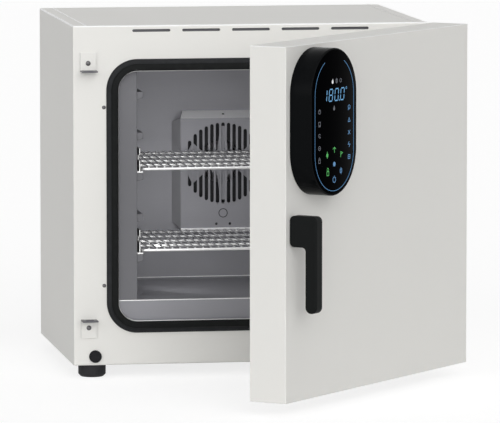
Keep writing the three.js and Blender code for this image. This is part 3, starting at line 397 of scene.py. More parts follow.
class Board:
    """A node tree that is being wired."""

    def __init__(self, tree):
        self.tree = tree

    def node(self, kind, options=None, inputs=None):
        """Adds a node, its settings first and then the values or links of its sockets."""
        node = self.tree.nodes.new(kind)
        for key, value in (options or {}).items():
            if key == "stops":
                self.set_stops(node.color_ramp, value)
            else:
                setattr(node, key, value)
        for key, value in (inputs or {}).items():
            self.feed(find_socket(node.inputs, key), value)
        return Signal(self, next(s for s in node.outputs if s.enabled)) if node.outputs else None

    def feed(self, socket, value):
        """Links a socket, or sets its value."""
        if isinstance(value, (list, tuple)) and value and isinstance(value[0], Signal):
            for signal in value:
                self.tree.links.new(signal.socket, socket)
        elif isinstance(value, Signal):
            self.tree.links.new(value.socket, socket)
        elif socket.type == "RGBA" and len(value) == 3:
            socket.default_value = (*value, 1.0)
        else:
            socket.default_value = value

    def set_stops(self, ramp, stops):
        """Sets a colour ramp's stops from (place, value or colour) pairs."""
        while len(ramp.elements) < len(stops):
            ramp.elements.new(1.0)
        for element, (place, value) in zip(ramp.elements, stops):
            element.position = place
            element.color = (*value, 1.0) if isinstance(value, tuple) else (value, value, value, 1.0)

    def maths(self, operation, first, second):
        return self.node("ShaderNodeMath", {"operation": operation}, {0: first, 1: second})


class Finish(Board):
    """A material that is being made."""

    def __init__(self, name):
        self.material = bpy.data.materials.new(name)
        self.material.use_nodes = True
        super().__init__(self.material.node_tree)
        self.tree.nodes.clear()

    def place(self, scale=(1.0, 1.0, 1.0), turn=(0.0, 0.0, 0.0)):
        """Object coordinates, turned and then stretched."""
        origin = self.node("ShaderNodeTexCoord").out("Object")
        return self.node("ShaderNodeMapping", {}, {"Vector": origin, "Rotation": turn, "Scale": scale})

    def noise(self, where, scale, detail=2.0, roughness=0.5):
        return self.node(
            "ShaderNodeTexNoise", {},
            {"Vector": where, "Scale": scale, "Detail": detail, "Roughness": roughness},
        )

    def cells(self, where, scale):
        return self.node("ShaderNodeTexVoronoi", {}, {"Vector": where, "Scale": scale})

    def ramp(self, factor, stops):
        return self.node("ShaderNodeValToRGB", {"stops": stops}, {"Fac": factor})

    def mix(self, factor, first, second):
        return self.node(
            "ShaderNodeMix", {"data_type": "RGBA"},
            {"Factor_Float": factor, "A_Color": first, "B_Color": second},
        )

    def bump(self, height, strength, distance):
        return self.node(
            "ShaderNodeBump", {}, {"Height": height, "Strength": strength, "Distance": distance},
        )

    def done(self, **sockets):
        """Ends the material in a Principled shader, whose sockets have shorter names here."""
        names = {
            "base": "Base Color", "rough": "Roughness", "metal": "Metallic", "normal": "Normal",
            "specular": "Specular IOR Level", "ior": "IOR", "glow": "Emission Color",
            "glow_strength": "Emission Strength",
        }
        shader = self.node(
            "ShaderNodeBsdfPrincipled", {}, {names[key]: value for key, value in sockets.items()},
        )
        self.node("ShaderNodeOutputMaterial", {}, {"Surface": shader})
        return self.material


class Recipe(Board):
    """A geometry node tree with named inputs, run once and kept as a plain mesh."""

    KINDS = {
        "length": "NodeSocketFloat", "count": "NodeSocketInt", "vector": "NodeSocketVector",
        "material": "NodeSocketMaterial",
    }

    def __init__(self, name, inputs):
        super().__init__(bpy.data.node_groups.new(name, "GeometryNodeTree"))
        face = self.tree.interface
        face.new_socket("Geometry", in_out="INPUT", socket_type="NodeSocketGeometry")
        face.new_socket("Geometry", in_out="OUTPUT", socket_type="NodeSocketGeometry")
        self.identifiers = {
            label: face.new_socket(label, in_out="INPUT", socket_type=self.KINDS[kind]).identifier
            for label, kind in inputs.items()
        }
        self.source = self.node("NodeGroupInput")

    def given(self, label):
        return self.source.out(label)

    def vector(self, x=0.0, y=0.0, z=0.0):
        return self.node("ShaderNodeCombineXYZ", {}, {"X": x, "Y": y, "Z": z})

    def rod(self, start, end, radius, sides):
        """A straight wire with closed ends."""
        line = self.node("GeometryNodeCurvePrimitiveLine", {}, {"Start": start, "End": end})
        return self.tube(line, radius, sides)

    def tube(self, line, radius, sides):
        """A round wire along a curve."""
        ring = self.node("GeometryNodeCurvePrimitiveCircle", {}, {"Resolution": sides, "Radius": radius})
        return self.node(
            "GeometryNodeCurveToMesh", {}, {"Curve": line, "Profile Curve": ring, "Fill Caps": True},
        )

    def repeated(self, shape, number, start, step):
        """Copies of a shape, a step apart."""
        row = self.node(
            "GeometryNodeMeshLine", {"mode": "OFFSET", "count_mode": "TOTAL"},
            {"Count": number, "Start Location": start, "Offset": step},
        )
        return self.node("GeometryNodeInstanceOnPoints", {}, {"Points": row, "Instance": shape})

    def done(self, shapes, material):
        """Ends the tree in one real, smooth and painted shape."""
        joined = self.node("GeometryNodeJoinGeometry", {}, {"Geometry": shapes})
        real = self.node("GeometryNodeRealizeInstances", {}, {"Geometry": joined})
        smooth = self.node("GeometryNodeSetShadeSmooth", {}, {"Geometry": real, "Shade Smooth": True})
        painted = self.node(
            "GeometryNodeSetMaterial", {}, {"Geometry": smooth, "Material": self.given(material)},
        )
        self.node("NodeGroupOutput", {}, {"Geometry": painted})

    def run(self, name, values, points=()):
        """The plain mesh object that the tree makes of these values."""
        seed = bpy.data.objects.new(name + "_seed", bpy.data.meshes.new(name + "_seed"))
        seed.data.from_pydata([tuple(point) for point in points], [], [])
        bpy.context.scene.collection.objects.link(seed)
        modifier = seed.modifiers.new(name, "NODES")
        modifier.node_group = self.tree
        for label, value in values.items():
            modifier[self.identifiers[label]] = value
        mesh = evaluated_mesh(seed, name)
        bpy.data.objects.remove(seed)
        return add_object(name, mesh)


# Meshes


def add_object(name, mesh):
    """Puts a mesh into the scene as an object at the origin."""
    made = bpy.data.objects.new(name, mesh)
    bpy.context.scene.collection.objects.link(made)
    return made


def evaluated_mesh(source, name):
    """What an object's modifiers make, as a plain mesh."""
    bpy.context.view_layer.update()
    graph = bpy.context.evaluated_depsgraph_get()
    mesh = bpy.data.meshes.new_from_object(source.evaluated_get(graph), depsgraph=graph)
    mesh.name = name
    if not mesh.polygons:
        raise RuntimeError(name + " came out empty")
    return mesh


def settle(made):
    """Replaces an object's mesh by what its modifiers make of it."""
    mesh = evaluated_mesh(made, made.name)
    made.modifiers.clear()
    made.data = mesh
    return made


def cleaned(made, gap=PIECE_GAP):
    """Joins corners that lie together, and drops the faces that have no area left."""
    work = bmesh.new()
    work.from_mesh(made.data)
    bmesh.ops.remove_doubles(work, verts=work.verts, dist=gap)
    bmesh.ops.dissolve_degenerate(work, edges=work.edges, dist=gap)
    work.to_mesh(made.data)
    work.free()
    return made


def arc_points(centre, radius, start, end, steps):
    """Places along an arc, both ends included."""
    angles = [start + (end - start) * i / steps for i in range(steps + 1)]
    return [(centre[0] + radius * math.cos(a), centre[1] + radius * math.sin(a)) for a in angles]


def circle_points(radius, steps):
    """Places round a circle about the origin."""
    return arc_points((0.0, 0.0), radius, 0.0, math.tau, steps)[:-1]


def quarter_round(steps=6):
    """The sine and cosine of even steps over a quarter turn."""
    return [(math.sin(turn), math.cos(turn)) for turn in (math.pi / 2 * i / steps for i in range(steps + 1))]


def rounded_rectangle(x0, x1, z0, z1, radius, steps):
    """Outline of a rectangle with round corners, as (x, z) places."""
    quarter = math.pi / 2
    centres = [(x1 - radius, z1 - radius), (x0 + radius, z1 - radius),
               (x0 + radius, z0 + radius), (x1 - radius, z0 + radius)]
    return [
        place for i, centre in enumerate(centres)
        for place in arc_points(centre, radius, i * quarter, (i + 1) * quarter, steps)
    ]


def square_outline(z, reach, corner, steps):
    """Outline of a square about (0, z), round where the corner fills it, as (x, z) places."""
    return rounded_rectangle(-reach, reach, z - reach, z + reach, min(corner, 0.999 * reach), steps)


def inset_outline(low, high, inset, radius, steps):
    """Outline of a box seen from the front, drawn in on all sides, as (x, z) places."""
    return rounded_rectangle(low.x + inset, high.x - inset, low.z + inset, high.z - inset, radius, steps)


def rounded_corners(corners, steps):
    """Outline of a polygon whose corners (u, v, radius) are rounded."""
    outline = []
    for i, (u, v, radius) in enumerate(corners):
        here = Vector((u, v))
        back = (Vector(corners[i - 1][:2]) - here).normalized()
        ahead = (Vector(corners[(i + 1) % len(corners)][:2]) - here).normalized()
        if not radius:
            outline.append((u, v))
            continue
        half = back.angle(ahead) / 2
        centre = here + (back + ahead).normalized() * (radius / math.sin(half))
        first = here + back * (radius / math.tan(half)) - centre
        last = here + ahead * (radius / math.tan(half)) - centre
        start = math.atan2(first.y, first.x)
        sweep = (math.atan2(last.y, last.x) - start + math.pi) % (2 * math.pi) - math.pi
        outline += arc_points(centre, radius, start, start + sweep, steps)
    return outline


def loft(name, rings, closed=False):
    """A skin over rings of equally many places: a closed loop of rings, or one with end faces."""
    work = bmesh.new()
    made = [[work.verts.new(place) for place in ring] for ring in rings]
    pairs = list(zip(made, made[1:])) + ([(made[-1], made[0])] if closed else [])
    for first, second in pairs:
        for i in range(len(first)):
            k = (i + 1) % len(first)
            work.faces.new((first[i], first[k], second[k], second[i]))
    if not closed:
        work.faces.new(made[0])
        work.faces.new(made[-1])
    bmesh.ops.remove_doubles(work, verts=work.verts, dist=SKIN_GAP)
    bmesh.ops.recalc_face_normals(work, faces=work.faces)
    mesh = bpy.data.meshes.new(name)
    work.to_mesh(mesh)
    work.free()
    return add_object(name, mesh)


def smooth(made, degrees=34.0):
    """Shades soft bends smooth and leaves sharp edges sharp."""
    made.data.shade_smooth()
    made.data.set_sharp_from_angle(angle=math.radians(degrees))
    return made


def rounded_edges(made, radius, rim=None):
    """Rounds an object's outer edges, with a smaller radius where a face is a sheet's cut edge."""
    work = bmesh.new()
    work.from_mesh(made.data)
    weights = work.edges.layers.float.new("bevel_weight_edge")
    thin = {
        face for face in work.faces
        if 2 * face.calc_area() / sum(edge.calc_length() for edge in face.edges) < CUT_EDGE
    }
    for edge in work.edges:
        if len(edge.link_faces) == 2 and edge.is_convex:
            if edge.calc_face_angle() > SHARP_BEND:
                is_rim = rim is not None and any(face in thin for face in edge.link_faces)
                edge[weights] = rim / radius if is_rim else 1.0
    work.to_mesh(made.data)
    work.free()
    bevel = made.modifiers.new("rounded edges", "BEVEL")
    bevel.limit_method = "WEIGHT"
    bevel.width = radius
    bevel.segments = BEVEL_STEPS
    return made


def even_shading(made):
    """Keeps flat faces flat beside rounded edges."""
    normals = made.modifiers.new("even shading", "WEIGHTED_NORMAL")
    normals.keep_sharp = True
    return settle(made)


def merged_shape(node, name):
    """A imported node's shape with its loose triangles joined into whole faces."""
    source = NODES[node].data
    work = bmesh.new()
    corners = [work.verts.new(vertex.co) for vertex in source.vertices]
    for triangle in source.polygons:
        work.faces.new([corners[i] for i in triangle.vertices])
    bmesh.ops.remove_doubles(work, verts=work.verts, dist=PIECE_GAP)
    bmesh.ops.dissolve_limit(work, angle_limit=FLAT_BEND, verts=work.verts[:], edges=work.edges[:])
    mesh = bpy.data.meshes.new(name)
    work.to_mesh(mesh)
    work.free()
    return add_object(name, mesh)


def paint(made, look):
    """Gives a piece one finish."""
    made.data.materials.clear()
    made.data.materials.append(look)
    return made


def paint_part(made, look, chosen):
    """Gives the faces that a test picks a finish of their own."""
    made.data.materials.append(look)
    for face in made.data.polygons:
        if chosen(face):
            face.material_index = len(made.data.materials) - 1
    return made


def paint_fold_highlights(made):
    """Gives the upper folded edges a brighter, glossier copy of the coat: a painted highlight where light
    catches the folds.
    """
    return paint_part(
        made, material("fold_highlight_coat"),
        lambda face: face.normal.z > 0.2 and max(abs(part) for part in face.normal) < 0.985,
    )


def present(made, body, slot, *nodes):
    """Hands a finished piece to its body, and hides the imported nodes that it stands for."""
    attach(made, body)
    if nodes:
        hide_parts(*nodes)
    return made


def finish_sheet(made, node, look, radius=0.0, rim=None):
    """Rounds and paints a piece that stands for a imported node."""
    if radius:
        rounded_edges(made, radius, rim)
        cleaned(settle(made))
    even_shading(paint(smooth(made), look))
    return present(made, BODY_OF[node], SLOT_OF[node], node)


def dress(node, look, radius=0.0, rim=None):
    """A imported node's shape with rounded edges and its finish."""
    return finish_sheet(merged_shape(node, node + "_surface"), node, look, radius, rim)


def cut_away(made, *cutters):
    """Cuts closed shapes out of a piece."""
    for cutter in cutters:
        cut = made.modifiers.new("cut", "BOOLEAN")
        cut.operation = "DIFFERENCE"
        cut.solver = "EXACT"
        cut.object = cutter
    cleaned(settle(made), CUT_GAP)
    for cutter in cutters:
        bpy.data.objects.remove(cutter)
    return made


def repaint(node, look):
    """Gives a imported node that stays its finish."""
    packed = NODES[node]
    if not packed.material_slots:
        packed.data.materials.append(look)
    for place in packed.material_slots:
        place.material = look


# Finishes


def toned(tone, factor, lift=0.0):
    """A colour made lighter or darker, up to white."""
    return tuple(min(1.0, part * factor + lift) for part in tone)


def powder_coat(name, tone, peel, satin=0.4, specular=0.4):
    """Satin powder coat with fine orange peel and a faint cloudiness."""
    finish = Finish(name)
    where = finish.place()
    waves = finish.noise(where, 330.0, 2.0)
    grains = finish.noise(where, 1500.0, 3.0)
    clouds = finish.noise(where, 4.0, 3.0)
    height = waves * 0.75 + grains * 0.25
    base = finish.mix(clouds, toned(tone, 0.975), toned(tone, 1.015))
    rough = satin + grains * 0.12 + clouds * 0.05
    return finish.done(base=base, rough=rough, normal=finish.bump(height, peel, 0.35 * MM), specular=specular)


def brushed_steel(name, tone, roughness, grain=(7.0, 7.0, 900.0), metal=1.0):
    """Rolled stainless sheet: fine grain lines, soft tarnish clouds and faint wiping marks."""
    finish = Finish(name)
    lines = finish.noise(finish.place(grain), 1.0, 4.0, 0.6)
    where = finish.place()
    clouds = finish.noise(where, 6.0, 4.0, 0.6)
    wipes = finish.noise(finish.place((30.0, 30.0, 9.0), (0.4, 0.3, 0.0)), 1.0, 3.0, 0.7)
    specks = finish.noise(where, 2200.0, 2.0)
    base = finish.mix(clouds * 0.6 + lines * 0.4, toned(tone, 0.9), toned(tone, 1.08))
    rough = roughness - 0.09 + lines * 0.1 + wipes * 0.06 + specks * 0.03
    height = lines * 0.8 + specks * 0.2
    return finish.done(base=base, rough=rough, metal=metal, normal=finish.bump(height, 0.1, 0.1 * MM))


def polished_wire(name, tone):
    """Electropolished steel wire with faint drawing lines."""
    finish = Finish(name)
    where = finish.place()
    spots = finish.noise(where, 600.0, 3.0, 0.6)
    clouds = finish.noise(where, 22.0, 2.0)
    base = finish.mix(clouds, toned(tone, 0.9), tone)
    rough = 0.3 + spots * 0.12 + clouds * 0.06
    return finish.done(base=base, rough=rough, metal=0.95, normal=finish.bump(spots, 0.08, 0.05 * MM))


def moulded_rubber(name, tone, rough=0.5):
    """Silicone rubber: dull, with fine mould grain and a trace of dust."""
    finish = Finish(name)
    where = finish.place()
    grain = finish.noise(where, 1900.0, 3.0, 0.6)
    dust = finish.noise(where, 60.0, 4.0, 0.7)
    base = finish.mix(finish.ramp(dust, [(0.45, 0.0), (0.8, 1.0)]), tone, toned(tone, 1.35, 0.003))
    return finish.done(
        base=base, rough=rough + grain * 0.14 + dust * 0.06, ior=1.2,
        normal=finish.bump(grain, 0.22, 0.1 * MM),
    )


def moulded_plastic(name, tone, rough=0.42, ior=1.4):
    """Hard plastic with fine spark-eroded grain, rubbed a little smoother in places."""
    finish = Finish(name)
    where = finish.place()
    grain = finish.cells(where, 1300.0)
    rubbed = finish.noise(where, 26.0, 3.0, 0.6)
    base = finish.mix(rubbed, toned(tone, 0.92), toned(tone, 1.12))
    return finish.done(
        base=base, rough=rough + rubbed * 0.12 - 0.04, ior=ior,
        normal=finish.bump(grain, 0.16, 0.08 * MM),
    )


def gloss_black(name, tone, rough, ior):
    """Polished black shell with faint smears and tiny dust specks."""
    finish = Finish(name)
    where = finish.place()
    smears = finish.noise(finish.place((18.0, 18.0, 46.0), (0.2, 0.5, 0.3)), 1.0, 4.0, 0.65)
    specks = finish.ramp(finish.cells(where, 260.0), [(0.0, 1.0), (0.06, 0.0)])
    base = finish.mix(specks, tone, toned(tone, 2.5, 0.004))
    return finish.done(base=base, rough=rough + smears * 0.09, ior=ior)


def zinc_plate(name, tone):
    """Bright zinc plate with small crystals and a faint warm tint."""
    finish = Finish(name)
    where = finish.place()
    crystals = finish.cells(where, 320.0)
    tint = finish.noise(where, 30.0, 2.0)
    base = finish.mix(tint, tone, (tone[0] * 1.04, tone[1], tone[2] * 0.9))
    rough = 0.26 + crystals * 0.18
    return finish.done(base=base, rough=rough, metal=1.0, normal=finish.bump(crystals, 0.1, 0.08 * MM))


def cast_aluminium(name):
    """Aluminium with drawing lines along its length and dull stains."""
    finish = Finish(name)
    lines = finish.noise(finish.place((5.0, 1200.0, 1200.0)), 1.0, 3.0)
    stains = finish.noise(finish.place(), 40.0, 3.0)
    base = finish.mix(stains, (0.52, 0.53, 0.55), (0.62, 0.62, 0.63))
    rough = 0.38 + lines * 0.15
    return finish.done(base=base, rough=rough, metal=1.0, normal=finish.bump(lines, 0.2, 0.1 * MM))


def motor_enamel(name):
    """Dark pitted enamel with a film of dust."""
    finish = Finish(name)
    where = finish.place()
    pits = finish.noise(where, 500.0, 3.0, 0.6)
    dust = finish.noise(where, 24.0, 4.0, 0.7)
    base = finish.mix(dust, (0.07, 0.075, 0.085), (0.12, 0.125, 0.13))
    return finish.done(base=base, rough=0.42 + pits * 0.25, normal=finish.bump(pits, 0.4, 0.25 * MM))


def heater_sheath(name):
    """Heater tube that heat has stained in straw, brown and blue."""
    finish = Finish(name)
    where = finish.place()
    heat = finish.noise(where, 14.0, 3.0, 0.6)
    scale = finish.noise(where, 900.0, 3.0, 0.6)
    base = finish.ramp(heat, [
        (0.25, (0.09, 0.09, 0.1)), (0.45, (0.19, 0.16, 0.12)), (0.6, (0.13, 0.1, 0.09)),
        (0.75, (0.1, 0.12, 0.17)),
    ])
    rough = 0.34 + scale * 0.25
    return finish.done(base=base, rough=rough, metal=1.0, normal=finish.bump(scale, 0.2, 0.1 * MM))


def circuit_board(name):
    """Green board with copper tracks under the lacquer and tinned dots."""
    finish = Finish(name)
    where = finish.place()
    tracks = finish.node(
        "ShaderNodeTexBrick", {"offset": 0.35, "squash": 1.6},
        {"Vector": where, "Scale": 70.0, "Mortar Size": 0.05, "Color1": (0, 0, 0), "Color2": (0, 0, 0),
         "Mortar": (1, 1, 1)},
    )
    dots = finish.ramp(finish.cells(where, 180.0), [(0.16, 1.0), (0.2, 0.0)])
    green = finish.mix(tracks, (0.012, 0.08, 0.035), (0.03, 0.17, 0.07))
    base = finish.mix(dots, green, (0.55, 0.55, 0.5))
    return finish.done(
        base=base, rough=0.32 + tracks * 0.1, metal=dots, normal=finish.bump(tracks, 0.3, 0.05 * MM),
    )


def glass_wool(name):
    """Pressed glass wool: crossing fibres and soft lumps."""
    finish = Finish(name)
    along = finish.noise(finish.place((60.0, 900.0, 900.0), (0.0, 0.3, 0.5)), 1.0, 4.0, 0.7)
    across = finish.noise(finish.place((900.0, 60.0, 700.0), (0.4, 0.0, 0.2)), 1.0, 4.0, 0.7)
    lumps = finish.noise(finish.place(), 45.0, 3.0, 0.6)
    fibres = finish.maths("MAXIMUM", along, across)
    base = finish.ramp(fibres * 0.7 + lumps * 0.3, [
        (0.3, (0.17, 0.16, 0.13)), (0.55, (0.32, 0.3, 0.25)), (0.8, (0.5, 0.48, 0.42)),
    ])
    height = fibres * 0.6 + lumps
    return finish.done(base=base, rough=0.9, normal=finish.bump(height, 0.9, 1.5 * MM), specular=0.2)


def lit_mark(name, tone):
    """A lit sign on the glass, slightly uneven as light-emitting segments are."""
    finish = Finish(name)
    spots = finish.noise(finish.place(), 500.0, 2.0)
    glow = finish.mix(spots, toned(tone, 0.85), toned(tone, 1.1))
    return finish.done(base=toned(tone, 0.1), glow=glow, glow_strength=1.0, rough=0.4, specular=0.1)


def makers():
    """What makes each named finish, from the settings."""
    casing, chamber, pod = settings("casing"), settings("chamber"), settings("pod")
    gasket = settings("gasket")
    coat, steel = tuple(casing.coat), tuple(chamber.steel)
    satin, metal = chamber.roughness, chamber.metal
    # The folds' coat is the coat made brighter and glossier: a painted highlight on the casing's and door's
    # upper folds.
    fold_highlight_tone = tuple(min(0.96, part * 1.3) for part in coat)
    along, across, upright = (900.0, 7.0, 900.0), (7.0, 900.0, 900.0), (900.0, 900.0, 7.0)
    return {
        "coat": lambda: powder_coat("white_powder_coat", coat, casing.peel),
        "fold_highlight_coat": lambda: powder_coat("fold_powder_coat", fold_highlight_tone, casing.peel * 0.5, 0.2, 1.0),
        "steel": lambda: brushed_steel("satin_stainless", steel, satin, metal=metal),
        # A darker copy of the steel for the floor plate's front and sides: painted shade.
        "floor_shade_steel": lambda: brushed_steel("floor_stainless", toned(steel, 0.82), satin, metal=metal),
        # A much darker copy of the steel for the air ducts and the vent's inner wall: painted shade.
        "duct_shade_steel": lambda: brushed_steel("duct_stainless", toned(steel, 0.45), satin, metal=metal),
        "cover_steel": lambda: brushed_steel("cover_stainless", steel, satin + 0.03, metal=metal),
        # A copy of the cover's steel, retoned and less metallic, that paints the light and shade on the fan
        # cover's side flaps.
        "flap_steel": lambda: brushed_steel("flap_stainless", (0.42, 0.42, 0.44), 0.5, along, 0.25),
        # A near-white, unmetallic copy of the steel: painted light on the fan cover's top and bottom flaps,
        # its lip and the floor plate's rear bead.
        "painted_light_steel": lambda: brushed_steel("top_flap_stainless", (0.93, 0.93, 0.95), 0.5, across, 0.0),
        "bright_steel": lambda: brushed_steel("bright_stainless", (0.5, 0.5, 0.51), 0.4, upright, 0.7),
        # Dark steel that paints shade: the fan's sides, the inlet ring behind the slots, the plug's line and
        # the cover's face screws.
        "painted_shade_steel": lambda: brushed_steel(
            "heat_darkened_steel", (0.05, 0.05, 0.055), 0.5, (300.0, 300.0, 300.0), 0.8),
        # Dark steel on the strikes' flanges: painted shade and reflection.
        "flange_shade_steel": lambda: brushed_steel(
            "bare_latch_steel", (0.085, 0.085, 0.095), 0.38, (900.0, 12.0, 12.0), 0.75),
        "wire": lambda: polished_wire("polished_wire", tuple(settings("shelves").steel)),
        "rubber": lambda: moulded_rubber("black_rubber", (0.012, 0.012, 0.013)),
        "foot_rubber": lambda: moulded_rubber("foot_rubber", (0.03, 0.03, 0.032)),
        "seal_lip": lambda: moulded_rubber("seal_lip_rubber", tuple(gasket.rubber)),
        "seal_band": lambda: moulded_rubber("seal_band_rubber", tuple(gasket.band), 0.42),
        "plastic": lambda: moulded_plastic("black_plastic", (0.014, 0.015, 0.016)),
        "lever": lambda: moulded_plastic("lever_plastic", tuple(settings("handle").plastic), 0.5, 1.15),
        "gloss": lambda: gloss_black("pod_gloss", tuple(pod.gloss), 0.16, 1.09),
        "glass": lambda: gloss_black("display_glass", (0.0006, 0.0007, 0.001), 0.06, 1.03),
        "zinc": lambda: zinc_plate("zinc_plate", (0.55, 0.56, 0.57)),
        "dark_zinc": lambda: zinc_plate("dark_zinc_plate", (0.13, 0.13, 0.14)),
        "aluminium": lambda: cast_aluminium("cast_aluminium"),
        "enamel": lambda: motor_enamel("motor_enamel"),
        "sheath": lambda: heater_sheath("heater_sheath"),
        "board": lambda: circuit_board("circuit_board"),
        "wool": lambda: glass_wool("glass_wool"),
        "digit_light": lambda: lit_mark("digit_light", tuple(pod.digit_colour)),
        "ring_light": lambda: lit_mark("ring_light", tuple(pod.ring_colour)),
        "white_light": lambda: lit_mark("white_light", linear(225, 226, 228)),
        "grey_light": lambda: lit_mark("grey_light", linear(98, 101, 108)),
        "blue_light": lambda: lit_mark("blue_light", linear(92, 136, 178)),
        "green_light": lambda: lit_mark("green_light", linear(78, 166, 88)),
    }


MATERIALS = {}


def material(key):
    """A named finish, made when it is first asked for."""
    if key not in MATERIALS:
        MATERIALS[key] = makers()[key]()
    return MATERIALS[key]


# Screws


def screw_recipe():
    """Pan heads with a cross recess, one on each point, facing a given way."""
    recipe = Recipe("pan_head_screws", {
        "Head Radius": "length", "Head Height": "length", "Recess Width": "length",
        "Facing": "vector", "Metal": "material",
    })
    radius = recipe.given("Head Radius")
    height = recipe.given("Head Height")
    recess = recipe.given("Recess Width")
    ball = recipe.node("GeometryNodeMeshUVSphere", {}, {"Segments": 24, "Rings": 14, "Radius": 1.0})
    dome = recipe.node(
        "GeometryNodeTransform", {},
        {"Geometry": ball, "Scale": recipe.vector(radius, radius, height)},
    )
    span = radius * 4.0
    below = recipe.node("GeometryNodeMeshCube", {}, {"Size": recipe.vector(span, span, height * 2.0)})
    low = recipe.node(
        "GeometryNodeTransform", {}, {"Geometry": below, "Translation": recipe.vector(0.0, 0.0, -height)},
    )
    bars = []
    for long_axis in (0, 1):
        sizes = [recess, recess]
        sizes[long_axis] = radius * 1.1
        bar = recipe.node("GeometryNodeMeshCube", {}, {"Size": recipe.vector(*sizes, height * 1.2)})
        bars.append(recipe.node(
            "GeometryNodeTransform", {}, {"Geometry": bar, "Translation": recipe.vector(0.0, 0.0, height)},
        ))
    head = recipe.node(
        "GeometryNodeMeshBoolean", {"operation": "DIFFERENCE", "solver": "EXACT"},
        {"Mesh 1": dome, "Mesh 2": [low, *bars]},
    )
    turn = recipe.node("FunctionNodeAlignRotationToVector", {"axis": "Z"}, {"Vector": recipe.given("Facing")})
    heads = recipe.node(
        "GeometryNodeInstanceOnPoints", {},
        {"Points": recipe.source.out("Geometry"), "Instance": head, "Rotation": turn},
    )
    recipe.done([heads], "Metal")
    return recipe


def screw_row(name, places, facing, finish, scale=1.0, body="cabinet", slot="zinc_steel", nodes=()):
    """Screw heads at some places of one body."""
    sizes = settings("screws")
    made = screw_recipe().run(name, {
        "Head Radius": sizes.head_radius * scale, "Head Height": sizes.head_height * scale,
        "Recess Width": sizes.recess * scale, "Facing": facing, "Metal": material(finish),
    }, places)
    smooth(made, 50.0)
    return present(made, body, slot, *nodes)


# Operators


class BuildOperator:
    """Shared by the operators: each one adds to what the last one built."""

    bl_options = {"REGISTER", "UNDO"}


